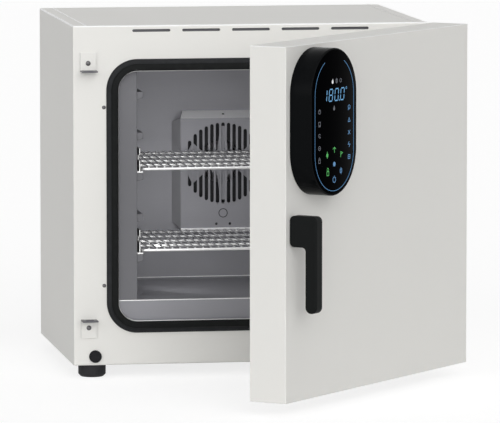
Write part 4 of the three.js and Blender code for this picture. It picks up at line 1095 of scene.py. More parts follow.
class CABINET_OT_stage(BuildOperator, bpy.types.Operator):
    """Set the floor, the light and the camera"""

    bl_idname = "cabinet.stage"
    bl_label = "Stage"

    # Each softbox in the room: its name, its strength's setting, how far round and how high it is in degrees
    SUNS = (
        ("left_softbox", "left", -45, 10), ("front_softbox", "front", 0, 10),
        ("high_softbox", "high", 20, 45), ("back_softbox", "back", 160, 5),
    )
    # Each softbox in the chamber: its name, its power's setting, its place, what it faces away from, its size
    PANELS = (
        ("low_chamber_softbox", "chamber_low", (-0.17, -0.15, 0.21), (-1.0, -0.9, -0.6), (0.05, 0.1)),
        ("high_chamber_softbox", "chamber_high", (-0.12, -0.15, 0.49), (-0.42, -0.87, 0.2), (0.1, 0.05)),
    )
    WHITE = (1.0, 1.0, 1.0)
    FLOOR_REACH = 60.0
    # How dark the floor's own colour is where it is looked at, and the even light that it then gives
    FLOOR_SHADE = 0.4
    FLOOR_LIGHT = 0.78
    CAMERA_PLACE = (-1.6758, -10.4533, 1.3613)
    CAMERA_TURN = (math.pi / 2 - 0.1042, 0.0, -0.1625)
    CAMERA_SENSOR = 36.0
    CAMERA_LENS = 407.25
    CAMERA_SIGHT = 200.0

    def execute(self, context):
        sizes, scene = settings("stage"), context.scene
        scene.view_settings.view_transform = "Standard"
        self.surround(scene, sizes)
        self.lay_floor(sizes)
        self.hang_lamps(scene, sizes)
        self.stand_camera(scene)
        return {"FINISHED"}

    def surround(self, scene, sizes):
        """A white world that lights only weakly."""
        scene.world = bpy.data.worlds.new("studio")
        scene.world.use_nodes = True
        world = Board(scene.world.node_tree)
        world.tree.nodes.clear()
        strength = sizes.fill + self.seen_share(world) * (1.0 - sizes.fill)
        light = world.node("ShaderNodeBackground", {}, {"Color": self.WHITE, "Strength": strength})
        world.node("ShaderNodeOutputWorld", {}, {"Surface": light})

    def lay_floor(self, sizes):
        """A pale floor at the feet's soles."""
        floor = Finish("pale_floor")
        seen = self.seen_share(floor)
        tone = floor.mix(seen, tuple(sizes.floor), toned(sizes.floor, self.FLOOR_SHADE))
        matt = floor.node("ShaderNodeBsdfDiffuse", {}, {"Color": tone})
        lift = floor.node(
            "ShaderNodeEmission", {}, {"Color": self.WHITE, "Strength": seen * self.FLOOR_LIGHT},
        )
        both = floor.node("ShaderNodeAddShader", {}, {0: matt, 1: lift})
        floor.node("ShaderNodeOutputMaterial", {}, {"Surface": both})
        mesh = bpy.data.meshes.new("floor")
        low, reach = CAD_BOX[0][2], self.FLOOR_REACH
        mesh.from_pydata(
            [(-reach, -reach, low), (reach, -reach, low), (reach, reach, low), (-reach, reach, low)],
            [], [(0, 1, 2, 3)],
        )
        paint(add_object("floor", mesh), floor.material)

    def hang_lamps(self, scene, sizes):
        """The softboxes in the room and in the chamber; what stands behind isn't mirrored."""
        for name, key, turn, height in self.SUNS:
            sun = bpy.data.lights.new(name, "SUN")
            sun.energy = getattr(sizes, key)
            sun.angle = sizes.softness
            turn, height = math.radians(turn), math.radians(height)
            across = math.cos(height)
            aim = Vector((math.sin(turn) * across, -math.cos(turn) * across, math.sin(height)))
            lamp = self.lamp(scene, name, sun, aim)
            lamp.visible_glossy = turn < math.pi / 2
        for name, key, place, towards, size in self.PANELS:
            panel = bpy.data.lights.new(name, "AREA")
            panel.energy = getattr(sizes, key)
            panel.shape = "RECTANGLE"
            panel.size, panel.size_y = size
            lamp = self.lamp(scene, name, panel, Vector(towards))
            lamp.location = place
            lamp.visible_camera = False
            lamp.visible_glossy = False

    def stand_camera(self, scene):
        """The camera where the photograph was taken from."""
        camera = bpy.data.objects.new("camera", bpy.data.cameras.new("camera"))
        camera.location = self.CAMERA_PLACE
        camera.rotation_euler = self.CAMERA_TURN
        camera.data.sensor_width = self.CAMERA_SENSOR
        camera.data.lens = self.CAMERA_LENS
        camera.data.clip_end = self.CAMERA_SIGHT
        scene.collection.objects.link(camera)
        scene.camera = camera

    def lamp(self, scene, name, light, towards):
        """Hangs a light so that it shines away from a direction."""
        made = bpy.data.objects.new(name, light)
        made.rotation_euler = towards.to_track_quat("Z", "Y").to_euler()
        scene.collection.objects.link(made)
        return made

    def seen_share(self, board):
        """1 for what the camera, mirrors and glass look at, and 0 for what only lights."""
        path = board.node("ShaderNodeLightPath")
        total = path.out("Is Camera Ray") + path.out("Is Glossy Ray") + path.out("Is Transmission Ray")
        return board.maths("MINIMUM", total, 1.0)


class CABINET_OT_casing(BuildOperator, bpy.types.Operator):
    """Build the painted casing, its feet and the door stop"""

    bl_idname = "cabinet.casing"
    bl_label = "Casing"

    def execute(self, context):
        sizes = settings("casing")
        dress("base_pan", material("coat"), sizes.small_fold, sizes.rim)
        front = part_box("front_frame")[0].y
        for node in ("left_side_panel", "right_side_panel", "top_cover"):
            made = merged_shape(node, node + "_surface")
            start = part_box(node)[0].y
            for vertex in made.data.vertices:
                if vertex.co.y < start + SIDE_GAP:
                    vertex.co.y = front + sizes.front_fold
            paint_fold_highlights(finish_sheet(made, node, material("coat"), sizes.fold, sizes.rim))
        self.front_sheet(sizes)
        for node in ("front_left_foot", "front_right_foot", "rear_left_foot", "rear_right_foot"):
            dress(node, material("foot_rubber"), sizes.foot_edge)
        dress("door_stop", material("rubber"))
        return {"FINISHED"}

    def front_sheet(self, sizes):
        """The front sheet, whose rounded border laps over the ends of the other panels."""
        low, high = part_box("front_frame")
        lap = sizes.front_fold + sizes.overlap
        made = merged_shape("front_frame", "front_frame_surface")
        for vertex in made.data.vertices:
            for axis in (0, 2):
                if vertex.co[axis] < low[axis] + SIDE_GAP:
                    vertex.co[axis] += lap
                elif vertex.co[axis] > high[axis] - SIDE_GAP:
                    vertex.co[axis] -= lap
        finish_sheet(made, "front_frame", material("coat"), sizes.front_corner, sizes.rim)
        self.border(sizes, low, high, lap)
        self.vent_wall(sizes, low, high)

    def border(self, sizes, low, high, lap):
        """The front sheet's folded border, tall at the top and narrow at the sides."""
        def outline(across, along, y):
            places = rounded_rectangle(
                low.x + across, high.x - across, low.z + along, high.z - along, sizes.front_corner, 3)
            return [(x, y, z) for x, z in places]

        sheet = high.y - low.y
        proud = 0.02 * MM
        deep, wide, inner = sizes.front_fold, sizes.front_side_fold, lap + sizes.overlap
        rings = [outline(inner, inner, low.y + proud), outline(lap, lap, low.y - proud)]
        for rise, fall in quarter_round():
            rings.append(outline(wide * (1 - rise), deep * (1 - rise), low.y - proud + deep * (1 - fall)))
        rings += [
            outline(sheet, sheet, low.y + deep), outline(deep + sheet, deep + sheet, low.y + sheet),
            outline(inner, inner, low.y + sheet),
        ]
        border = smooth(loft("front_border", rings, closed=True))
        paint_fold_highlights(paint(border, material("coat")))
        present(border, "cabinet", SLOT_OF["front_frame"])

    def vent_wall(self, sizes, low, high):
        """The wall that shows behind the vent slots, bent forward over them."""
        thick = (high.y - low.y) * 0.8
        depth, foot, tall = low.y + sizes.vent_depth, high.z - sizes.vent_drop, sizes.vent_height
        lip, bend, slant = 5.0 * MM, 1.2 * MM, 0.2 * MM
        section = [
            (0.0, 0.0), (0.0, tall), (-lip, tall + bend), (-lip, tall + bend + thick),
            (thick, tall + slant + thick), (thick, 0.0),
        ]
        wall = loft("vent_inner_wall", [
            [(x, depth + y, foot + z) for y, z in section] for x in (-sizes.vent_reach, sizes.vent_reach)
        ])
        # Its darker steel is painted shade behind the slots.
        paint(smooth(wall, 20.0), material("duct_shade_steel"))
        present(wall, "cabinet", SLOT_OF["front_frame"])


class CABINET_OT_latch_plates(BuildOperator, bpy.types.Operator):
    """Build the latch strikes with their screws, and the screws beside the seal"""

    bl_idname = "cabinet.latch_plates"
    bl_label = "Latch plates and front screws"

    # The strike screws' size beside the small screws, and how deep their heads' feet lie in head heights
    STRIKE_SCREW = 1.3
    HEAD_DEPTH = 1.2
    # How deep the strike's plate is, and where the seal's screws sit beside it
    PLATE = 2.7 * MM
    ASIDE = 4.5 * MM
    FROM_END = 88.0 * MM

    def execute(self, context):
        sizes = settings("casing")
        for level in ("upper", "lower"):
            node = f"{level}_strike"
            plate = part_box(node)[1].y - self.PLATE
            # The flange's faces get the dark steel: painted shade and reflection.
            paint_part(
                dress(node, material("coat"), sizes.plate_edge, sizes.rim), material("flange_shade_steel"),
                lambda face: face.center.y < plate,
            )
            screw = f"{level}_strike_screw"
            low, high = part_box(screw)
            depth = low.y + settings("screws").head_height * self.HEAD_DEPTH
            middle = ((low.x + high.x) / 2, depth, (low.z + high.z) / 2)
            screw_row(
                screw + "_head", [middle], FORWARD, "dark_zinc", self.STRIKE_SCREW,
                BODY_OF[screw], SLOT_OF[screw], [screw],
            )
        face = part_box("front_frame")[0].y
        seal_low, seal_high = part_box("door_gasket")
        places = [
            (side, face, height)
            for side in (seal_low.x - self.ASIDE, seal_high.x + self.ASIDE)
            for height in (seal_low.z + self.FROM_END, seal_high.z - self.FROM_END)
        ]
        screw_row("seal_screws", places, FORWARD, "dark_zinc")
        return {"FINISHED"}


class CABINET_OT_gasket(BuildOperator, bpy.types.Operator):
    """Build the silicone seal as a swept section"""

    bl_idname = "cabinet.gasket"
    bl_label = "Door seal"

    # How far out the flat band may stand, as a share of the seal's depth, and how far it may overlap the lip
    BAND_DEPTH = 0.62
    BAND_EDGE = 0.5 * MM

    def execute(self, context):
        sizes = settings("gasket")
        low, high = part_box("door_gasket")
        width, depth = sizes.width, high.y - low.y
        step = width * (1 - sizes.band_share)
        full, band = width / MM, step / MM
        # Millimetres from the inner edge, and how far out that place stands as a share of the depth
        section = [
            (0.0, 0.0), (0.0, 0.8), (0.4, 0.94), (1.2, 0.99), (2.4, 1.0), (0.45 * full, 0.985),
            (0.53 * full, 0.93), (0.575 * full, 0.8), (band, 0.58), (band + 0.5, 0.49),
            (0.8 * full, 0.46), (0.93 * full, 0.38), (0.985 * full, 0.22), (full, 0.1), (full, 0.0),
        ]
        rings = []
        for across, out in section:
            grow = across * MM
            outline = inset_outline(low, high, width - grow, sizes.inner_corner + grow, sizes.corner_steps)
            rings.append([(x, high.y - out * depth, z) for x, z in outline])
        made = paint(loft("seal_profile", rings, closed=True), material("seal_lip"))

        def on_band(face):
            low_enough = (high.y - face.center.y) / depth < self.BAND_DEPTH
            return low_enough and self.from_corner(face.center, low, high, sizes) > step - self.BAND_EDGE

        # The flat outer band gets a lighter rubber: painted light.
        smooth(paint_part(made, material("seal_band"), on_band), 60.0)
        present(made, "cabinet", SLOT_OF["door_gasket"], "door_gasket")
        return {"FINISHED"}

    def from_corner(self, place, low, high, sizes):
        """How far out from the seal's inner edge a place lies, also in the corners."""
        corner = sizes.inner_corner + sizes.width
        middle, reach = (low + high) / 2, (high - low) / 2
        across, along = (
            max(abs(place[axis] - middle[axis]) - (reach[axis] - corner), 0.0) for axis in (0, 2)
        )
        return math.hypot(across, along) - sizes.inner_corner


class CABINET_OT_chamber(BuildOperator, bpy.types.Operator):
    """Build the stainless chamber, its air ducts, floor plate, baffle and probes"""

    bl_idname = "cabinet.chamber"
    bl_label = "Chamber"

    # How far the front bead's ends stay from the liner's outside, and the mouth's bead from the seal's edge
    END_GAP = 2.2 * MM
    TUCK = 0.7 * MM
    # The floor plate's faces that point up more than this are its top
    UPWARD = 0.9

    def execute(self, context):
        sizes = settings("chamber")
        for node in ("chamber_liner", "rear_baffle"):
            dress(node, material("steel"), sizes.fold, sizes.rim)
        # The floor plate's front and sides take the darker steel, painted shade; its top keeps the plain
        # steel.
        plate = dress("floor_plate", material("floor_shade_steel"), sizes.fold, sizes.rim)
        paint_part(plate, material("steel"), lambda face: face.normal.z > self.UPWARD)
        # The ducts take the darker steel: painted shade at the chamber's sides.
        for node in ("left_air_duct", "right_air_duct"):
            dress(node, material("duct_shade_steel"), sizes.fold, sizes.rim)
        self.floor_beads(sizes.bead)
        self.mouth_bead(sizes.bead)
        for node in ("temperature_probe", "limit_probe"):
            dress(node, material("bright_steel"), sizes.probe_edge)
        dress("heating_element", material("sheath"))
        return {"FINISHED"}

    def floor_beads(self, radius):
        """Polished beads on the floor plate's front and rear edges; the rear one is near white with painted
        light.
        """
        low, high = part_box("floor_plate")
        front_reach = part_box("chamber_liner")[1].x - self.END_GAP
        rear_reach = high.x - MM
        front = (low.y + radius * 0.6, high.z - radius * 0.6)
        rear = (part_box("rear_baffle")[0].y - radius * 0.3, high.z + radius * 0.2)
        for name, reach, (y, z), thick, key in (
            ("floor_front_bead", front_reach, front, radius, "wire"),
            ("floor_rear_bead", rear_reach, rear, radius * 0.8, "painted_light_steel"),
        ):
            made = loft(name, [
                [(x, y + a, z + b) for a, b in circle_points(thick, 12)] for x in (-reach, reach)
            ])
            paint(smooth(made, 50.0), material(key))
            present(made, "cabinet", SLOT_OF["floor_plate"])

    def mouth_bead(self, radius):
        """The polished bead round the liner's mouth, tucked in beside the seal."""
        seal = settings("gasket")
        low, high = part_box("door_gasket")
        width = seal.width + self.TUCK
        y = high.y - radius * 0.9
        rings = []
        for across, along in circle_points(radius * 0.8, 10):
            outline = inset_outline(low, high, width - across, seal.inner_corner + across, 16)
            rings.append([(x, y + along, z) for x, z in outline])
        mouth = loft("mouth_bead", rings, closed=True)
        paint(smooth(mouth, 50.0), material("wire"))
        present(mouth, "cabinet", SLOT_OF["chamber_liner"])


class CABINET_OT_fan(BuildOperator, bpy.types.Operator):
    """Build the slotted fan cover and the fan behind it"""

    bl_idname = "cabinet.fan"
    bl_label = "Fan and its cover"

    # The cover's screws beside the small screws, and how far the top one stands from the middle
    SCREW = 0.7
    TOP_SCREW = 3.0 * MM
    # How deep the impeller's front faces lie, and the inlet ring before the cover's rear
    FRONT = 0.6 * MM
    INLET_GAP = 2.5 * MM
    # How far the plug's rim stands out of the face
    PLUG_LIFT = 0.25 * MM

    def execute(self, context):
        sizes = settings("fan")
        rim = settings("chamber").rim
        low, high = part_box("fan_cover")
        foot = low.z + sizes.slope
        self.cover(sizes, low, high, rim)
        self.inlet_ring(sizes, high.y - self.INLET_GAP)
        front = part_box("fan_impeller")[0].y + self.FRONT
        # The impeller is dark steel, painted shade, with only its front faces in the cover's plain steel.
        paint_part(
            dress("fan_impeller", material("painted_shade_steel"), sizes.edge, rim), material("cover_steel"),
            lambda face: face.center.y < front,
        )
        dress("fan_shaft", material("zinc"))
        places = [(x, low.y, foot + sizes.screw_rise) for x in (-sizes.screw_reach, sizes.screw_reach)]
        screw_row("cover_face_screws", places, FORWARD, "painted_shade_steel", self.SCREW)
        top = (self.TOP_SCREW, (low.y + high.y) / 2, high.z - sizes.slope / 2)
        screw_row("cover_top_screw", [top], (0.0, -sizes.slope, high.y - low.y), "painted_shade_steel", self.SCREW)
        self.lip(sizes, (high.x - low.x) / 2 - sizes.slope, low.y, foot)
        self.plug(sizes, low.y, foot + sizes.plug_rise)
        return {"FINISHED"}

    def cover(self, sizes, low, high, rim):
        """The cover, with its flaps cut apart at the corners."""
        made = merged_shape("fan_cover", "fan_cover_surface")
        slope, gap = sizes.slope, sizes.corner_gap
        cutters = []
        for side in (-1, 1):
            for end in (-1, 1):
                x = (low.x if side < 0 else high.x) - side * slope
                z = (low.z if end < 0 else high.z) - end * slope
                # From just outside the face's corner, along both flaps' ends to beyond the cover
                wedge = [
                    (x + side * gap, z + end * gap), (x - side * slope * 0.84, z + end * slope * 1.1),
                    (x + side * slope * 1.3, z + end * slope * 1.3),
                    (x + side * slope * 1.1, z - end * slope * 0.9),
                ]
                if side * end < 0:
                    wedge.reverse()
                rings = [[(a, y, b) for a, b in wedge] for y in (low.y + sizes.sheet, high.y + MM)]
                cutters.append(loft("corner_cut", rings))
        cut_away(made, *cutters)
        made = finish_sheet(made, "fan_cover", material("cover_steel"), sizes.edge, rim)
        flaps, sideways = slope + 0.2 * MM, 0.7
        middle, reach = (low.z + high.z) / 2, (high.z - low.z) / 2
        # The side flaps take a retoned copy of the steel: painted light and shade.
        paint_part(
            made, material("flap_steel"),
            lambda face: abs(face.normal.x) > sideways and abs(face.center.x) > high.x - flaps,
        )
        # The top and bottom flaps take the near-white steel: painted light.
        paint_part(
            made, material("painted_light_steel"),
            lambda face: abs(face.normal.z) > sideways and abs(face.center.z - middle) > reach - flaps,
        )

    def inlet_ring(self, sizes, y):
        """The inlet ring behind the fan, seen only through the slots, dark with painted shade."""
        rings = []
        for reach, corner, level in (
            (sizes.inlet_reach, sizes.inlet_corner, y), (sizes.inlet_hole, sizes.inlet_hole, y),
            (sizes.inlet_hole, sizes.inlet_hole, y + MM), (sizes.inlet_reach, sizes.inlet_corner, y + MM),
        ):
            rings.append([(x, level, z) for x, z in square_outline(sizes.axle, reach, corner, 10)])
        ring = loft("fan_inlet_ring", rings, closed=True)
        paint(smooth(ring), material("painted_shade_steel"))
        present(ring, "cabinet", SLOT_OF["fan_cover"])

    def lip(self, sizes, wide, face, foot):
        """The folded lip under the cover's face, near white with painted light."""
        out, drop = sizes.lip_out, sizes.lip_drop
        thin, thick, back = 0.2 * MM, 0.8 * MM, 0.9 * MM
        section = [
            (face, foot), (face - out, foot - drop), (face - out + thick, foot - drop - thin),
            (face + back, foot - thin),
        ]
        lip = loft("cover_lower_lip", [[(x, y, z) for y, z in section] for x in (-wide, wide)])
        paint(smooth(lip, 20.0), material("painted_light_steel"))
        present(lip, "cabinet", SLOT_OF["fan_cover"])

    def plug(self, sizes, face, height):
        """The dark line round the blind plug in the cover's face."""
        outer, inner = (
            square_outline(height, reach, reach, 12)
            for reach in (sizes.plug_radius, sizes.plug_radius - sizes.plug_line)
        )
        front = face - self.PLUG_LIFT
        plug = loft("cover_plug_rim", [
            [(x, y, z) for x, z in ring]
            for ring, y in ((outer, face), (outer, front), (inner, front), (inner, face))
        ], closed=True)
        paint(smooth(plug, 60.0), material("painted_shade_steel"))
        present(plug, "cabinet", SLOT_OF["fan_cover"])


class CABINET_OT_shelves(BuildOperator, bpy.types.Operator):
    """Build the wire shelves and the rails that carry them"""

    bl_idname = "cabinet.shelves"
    bl_label = "Shelves and rails"

    # How far the bars stop short of the frame's ends, as a share of its radius
    BAR_END = 0.4
    # The gap between the last bar and the frame, as a share of the gap between bars
    LAST_GAP = 0.575

    def execute(self, context):
        sizes = settings("shelves")
        recipe = self.recipe()
        for node in ("upper_shelf", "lower_shelf"):
            low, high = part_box(node)
            made = recipe.run(node + "_wires", {
                "Half Width": high.x, "Front": low.y, "Rear": high.y, "Underside": low.z,
                "Frame Radius": sizes.frame_radius, "Bar Radius": sizes.bar_radius, "Bars": sizes.bars,
                "Crossings": sizes.crossings, "Corner": sizes.corner, "Top": high.z,
                "Wire": material("wire"),
            })
            smooth(made, 50.0)
            present(made, BODY_OF[node], SLOT_OF[node], node)
        for node in ("upper_left_rail", "upper_right_rail", "lower_left_rail", "lower_right_rail"):
            dress(node, material("wire"), sizes.rail_edge, sizes.rail_edge)
        return {"FINISHED"}

    def recipe(self):
        """A bent frame wire, cross wires level with it and thinner bars that lie on both."""
        recipe = Recipe("wire_shelf", {
            "Half Width": "length", "Front": "length", "Rear": "length", "Underside": "length",
            "Top": "length", "Frame Radius": "length", "Bar Radius": "length", "Bars": "count",
            "Crossings": "count", "Corner": "length", "Wire": "material",
        })
        half, front, rear = (recipe.given(label) for label in ("Half Width", "Front", "Rear"))
        thick, thin = recipe.given("Frame Radius"), recipe.given("Bar Radius")
        level = recipe.given("Underside") + thick
        depth = rear - front - thick * 2.0
        outline = recipe.node(
            "GeometryNodeCurvePrimitiveQuadrilateral", {"mode": "RECTANGLE"},
            {"Width": (half - thick) * 2.0, "Height": depth},
        )
        bent = recipe.node(
            "GeometryNodeFilletCurve", {"mode": "POLY"},
            {"Curve": outline, "Count": 7, "Radius": recipe.given("Corner")},
        )
        placed = recipe.node(
            "GeometryNodeTransform", {},
            {"Geometry": bent, "Translation": recipe.vector(0.0, (front + rear) / 2.0, level)},
        )
        border = recipe.tube(placed, thick, 14)
        cross = recipe.rod(recipe.vector(-half + thick), recipe.vector(half - thick), thick, 14)
        gaps = recipe.given("Crossings") - 1.0
        inner = recipe.repeated(
            cross, recipe.given("Crossings") - 2.0, recipe.vector(0.0, front + thick + depth / gaps, level),
            recipe.vector(0.0, depth / gaps, 0.0),
        )
        bar = recipe.rod(
            recipe.vector(0.0, front + thick * self.BAR_END), recipe.vector(0.0, rear - thick * self.BAR_END),
            thin, 10,
        )
        gaps_across = recipe.given("Bars") + (2.0 * self.LAST_GAP - 1.0)
        pitch = (half - thick * 2.0 - thin) * 2.0 / gaps_across
        first = -pitch * (recipe.given("Bars") - 1.0) / 2.0
        bars = recipe.repeated(
            bar, recipe.given("Bars"), recipe.vector(first, 0.0, recipe.given("Top") - thin),
            recipe.vector(pitch, 0.0, 0.0),
        )
        recipe.done([border, inner, bars], "Wire")
        return recipe


class CABINET_OT_door(BuildOperator, bpy.types.Operator):
    """Build the door's shell and inner panel"""

    bl_idname = "cabinet.door"
    bl_label = "Door"

    # The shell's folds beside the casing's small folds
    FOLD = 1.3

    def execute(self, context):
        sizes = settings("casing")
        paint_fold_highlights(dress("door_shell", material("coat"), sizes.small_fold * self.FOLD, sizes.rim))
        dress("door_inner_panel", material("coat"), sizes.plate_edge, sizes.rim)
        return {"FINISHED"}


class CABINET_OT_hinges(BuildOperator, bpy.types.Operator):
    """Build the hinges"""

    bl_idname = "cabinet.hinges"
    bl_label = "Hinges"

    def execute(self, context):
        sizes = settings("casing")
        for level in ("upper", "lower"):
            dress(f"{level}_hinge_bracket", material("coat"), sizes.bracket_edge)
            dress(f"{level}_hinge_leaf", material("coat"), sizes.bracket_edge)
            dress(f"{level}_hinge_pin", material("zinc"), sizes.plate_edge)
        return {"FINISHED"}


class CABINET_OT_pod(BuildOperator, bpy.types.Operator):
    """Build the control pod's shell and glass"""

    bl_idname = "cabinet.pod"
    bl_label = "Control pod"

    def execute(self, context):
        sizes = settings("pod")
        low, high = shut_box("control_housing")
        glass_low, glass_high = shut_box("control_glass")
        half = (high.x - low.x) / 2
        inset = glass_low.x - low.x
        wall = inset - sizes.glass_gap
        turn = door_turn()

        def outline(drawn_in, y):
            places = inset_outline(low, high, drawn_in, half - drawn_in - 0.001 * MM, 28)
            return [turn @ Vector((x, y, z)) for x, z in places]

        front, edge = low.y, sizes.edge
        rings = [outline(0.0, high.y)]
        for rise, fall in quarter_round():
            rings.append(outline(edge * (1 - fall), front + edge * (1 - rise)))
        rings += [outline(wall, front), outline(wall, high.y)]
        shell = smooth(loft("pod_shell", rings, closed=True), 40.0)
        paint(shell, material("gloss"))
        present(shell, "door", SLOT_OF["control_housing"], "control_housing")

        rim = sizes.glass_edge
        pane = loft("pod_glass", [
            outline(inset, glass_high.y), outline(inset, glass_low.y + rim),
            outline(inset + rim * 0.4, glass_low.y + rim * 0.3), outline(inset + rim, glass_low.y),
        ])
        paint(smooth(pane, 40.0), material("glass"))
        present(pane, "door", SLOT_OF["control_glass"], "control_glass")
        return {"FINISHED"}


class CABINET_OT_display(BuildOperator, bpy.types.Operator):
    """Build the lit ring, the digits and the plain signs on the pod's glass"""

    bl_idname = "cabinet.display"
    bl_label = "Display"

    SEGMENTS = {"0": "abcdef", "1": "bc", "8": "abcdefg"}
    # Where a drop's round part starts and ends, and where the columns of signs stand in millimetres
    DROP = (math.radians(150), math.radians(390))
    LEFT_COLUMN = -50.3
    RIGHT_COLUMN = 53.5

    def execute(self, context):
        sizes = settings("pod")
        low, high = shut_box("control_housing")
        self.middle = Vector(((low.x + high.x) / 2, 0.0, (low.z + high.z) / 2))
        face = shut_box("control_glass")[0].y
        self.front, self.back = face - sizes.mark_lift, face - sizes.mark_sink
        self.write("display_digits", self.digits(sizes.digit_height), "digit_light")
        self.write("display_ring", self.ring(sizes.ring_radius, sizes.ring_width), "ring_light")
        self.write("display_signs_white", self.white_signs(), "white_light")
        self.write("display_signs_grey", self.grey_signs(), "grey_light")
        self.write("display_signs_blue", self.blue_signs(), "blue_light")
        self.write("display_signs_green", self.green_signs(), "green_light")
        return {"FINISHED"}

    def write(self, name, shapes, light):
        """Thin plates on the glass, from outlines in millimetres about the pod's middle."""
        work = bmesh.new()
        turn = door_turn()
        for shape in shapes:
            front, back = [], []
            for x, z in shape:
                x, z = self.middle.x + x * MM, self.middle.z + z * MM
                front.append(work.verts.new(turn @ Vector((x, self.front, z))))
                back.append(work.verts.new(turn @ Vector((x, self.back, z))))
            work.faces.new(front)
            work.faces.new(back[::-1])
            for i in range(len(shape)):
                k = (i + 1) % len(shape)
                work.faces.new((front[i], back[i], back[k], front[k]))
        bmesh.ops.recalc_face_normals(work, faces=work.faces)
        mesh = bpy.data.meshes.new(name)
        work.to_mesh(mesh)
        work.free()
        present(paint(add_object(name, mesh), material(light)), "door", SLOT_OF["control_glass"])

    def stroke(self, points, width):
        """Quads along a line of points."""
        shapes = []
        for (x0, z0), (x1, z1) in zip(points, points[1:]):
            along = Vector((x1 - x0, z1 - z0)).normalized()
            side = Vector((-along.y, along.x)) * width / 2
            end = along * width * 0.35
            shapes.append([
                (x0 + side.x - end.x, z0 + side.y - end.y), (x1 + side.x + end.x, z1 + side.y + end.y),
                (x1 - side.x + end.x, z1 - side.y + end.y), (x0 - side.x - end.x, z0 - side.y - end.y),
            ])
        return shapes

    def ring(self, radius, width):
        """The lit line round the display, open at the top."""
        radius, width = radius / MM, width / MM
        x, upper, lower = 1.5, 46.8, -53.4
        gap = math.radians(60.5)

        def line(reach):
            return (
                arc_points((x, upper), reach, gap, 0.0, 20)
                + arc_points((x, lower), reach, 0.0, -math.pi, 44)
                + arc_points((x, upper), reach, math.pi, math.pi - gap, 20)
            )

        outer, inner = line(radius), line(radius - width)
        return [[outer[i], outer[i + 1], inner[i + 1], inner[i]] for i in range(len(outer) - 1)]

    def digit(self, sign, x, z, height):
        """One seven-segment digit with its lower left corner at (x, z), leaning a little."""
        wide, thick, gap = height * 0.58, height * 0.1, height * 0.035
        lean = 0.12
        half = height / 2
        ends = {
            "a": ((0, height), (wide, height)), "g": ((0, half), (wide, half)), "d": ((0, 0), (wide, 0)),
            "f": ((0, half), (0, height)), "b": ((wide, half), (wide, height)),
            "e": ((0, 0), (0, half)), "c": ((wide, 0), (wide, half)),
        }
        shapes = []
        for key in self.SEGMENTS[sign]:
            start, end = (Vector(place) for place in ends[key])
            along = (end - start).normalized()
            side = Vector((-along.y, along.x)) * thick / 2
            near, far = start + along * gap, end - along * gap
            cut = along * thick / 2
            outline = [near, near + cut + side, far - cut + side, far, far - cut - side, near + cut - side]
            shapes.append([(x + place.x + lean * place.y, z + place.y) for place in outline])
        return shapes

    def digits(self, height):
        """The digits 180.0 with a degree sign."""
        height = height / MM
        base, pitch = 37.2, height * 0.98
        start = -38.0
        shapes = []
        for i, sign in enumerate("1800"):
            shapes += self.digit(sign, start + i * pitch, base, height)
        point = start + 2 * pitch + height * 0.74
        dot = 1.2
        shapes.append([
            (point, base - dot), (point + 2 * dot, base - dot), (point + 2 * dot, base + dot),
            (point, base + dot),
        ])
        degree = arc_points((43.4, 57.0), 1.9, 0.0, math.tau, 10)
        return shapes + self.stroke(degree, 0.8)

    def circle(self, x, z, radius, width=1.0, start=0.0, end=math.tau):
        """A line round a circle, or a part of it."""
        return self.stroke(arc_points((x, z), radius, start, end, 16), width)

    def square(self, x, z, half, width=1.0):
        """A line round a square."""
        corners = [(x - half, z - half), (x + half, z - half), (x + half, z + half), (x - half, z + half)]
        return self.stroke([*corners, corners[0]], width)

    def white_signs(self):
        """A full flame-like drop: a disc with a pointed top."""
        return [[*arc_points((-4.8, 70.0), 2.9, *self.DROP, 14), (-4.2, 75.6)]]

    def grey_signs(self):
        """The dimmer signs in the top row, the small drop and the left column."""
        shapes = self.square(9.2, 71.6, 2.6, 1.2) + self.stroke([(9.2, 67.2), (9.2, 76.0)], 1.2)
        shapes += self.circle(23.5, 71.3, 3.1, 1.0)
        shapes.append([*arc_points((0.6, 23.0), 2.9, *self.DROP, 12), (0.9, 29.0)])
        x = self.LEFT_COLUMN
        shapes += self.circle(x, 21.1, 3.6) + self.stroke([(x, 21.1), (x, 24.0)], 1.0)
        shapes += self.square(x, 0.1, 3.1) + self.stroke([(x - 3, -4.6), (x + 3, -4.6)], 1.2)
        shapes += self.circle(x, -21.0, 3.2, 1.0, 0.5, 5.6) + self.stroke([(x, -21.0), (x + 3.4, -24.5)], 1.1)
        shapes += self.circle(x, -42.8, 3.6) + self.stroke([(x - 1.8, -42.8), (x + 1.8, -42.8)], 1.0)
        shapes += self.square(x, -65.6, 3.0) + self.circle(x, -61.0, 1.9)
        return shapes

    def blue_signs(self):
        """The right column and the two lower signs."""
        x = self.RIGHT_COLUMN
        shapes = self.circle(x, 22.4, 3.6, 1.1) + self.stroke([(x - 3.6, 17.5), (x + 0.4, 22.0)], 1.1)
        shapes += self.stroke([(x - 3.6, -3.2), (x, 3.6), (x + 3.6, -3.2), (x - 3.6, -3.2)], 1.2)
        shapes += self.stroke([(x - 3.4, -18.8), (x + 3.4, -25.2)], 1.2)
        shapes += self.stroke([(x + 3.4, -18.8), (x - 3.4, -25.2)], 1.2)
        shapes += self.stroke([(x, -38.6), (x - 3.4, -43.1), (x + 3.4, -43.1), (x, -47.6)], 1.2)
        shapes += self.square(x, -65.0, 3.3, 1.3) + self.stroke([(x - 3, -65), (x + 3, -65)], 1.0)
        shapes.append(arc_points((1.5, -74.1), 4.2, 0.0, 1.9 * math.pi, 14))
        shapes += self.square(24.9, -87.4, 2.9, 1.2) + self.stroke([(24.9, -93.0), (24.9, -81.8)], 1.1)
        shapes += self.circle(1.5, -101.3, 4.9, 1.3, math.radians(120), math.radians(420))
        shapes += self.stroke([(1.5, -98.0), (1.5, -94.8)], 1.3)
        return shapes

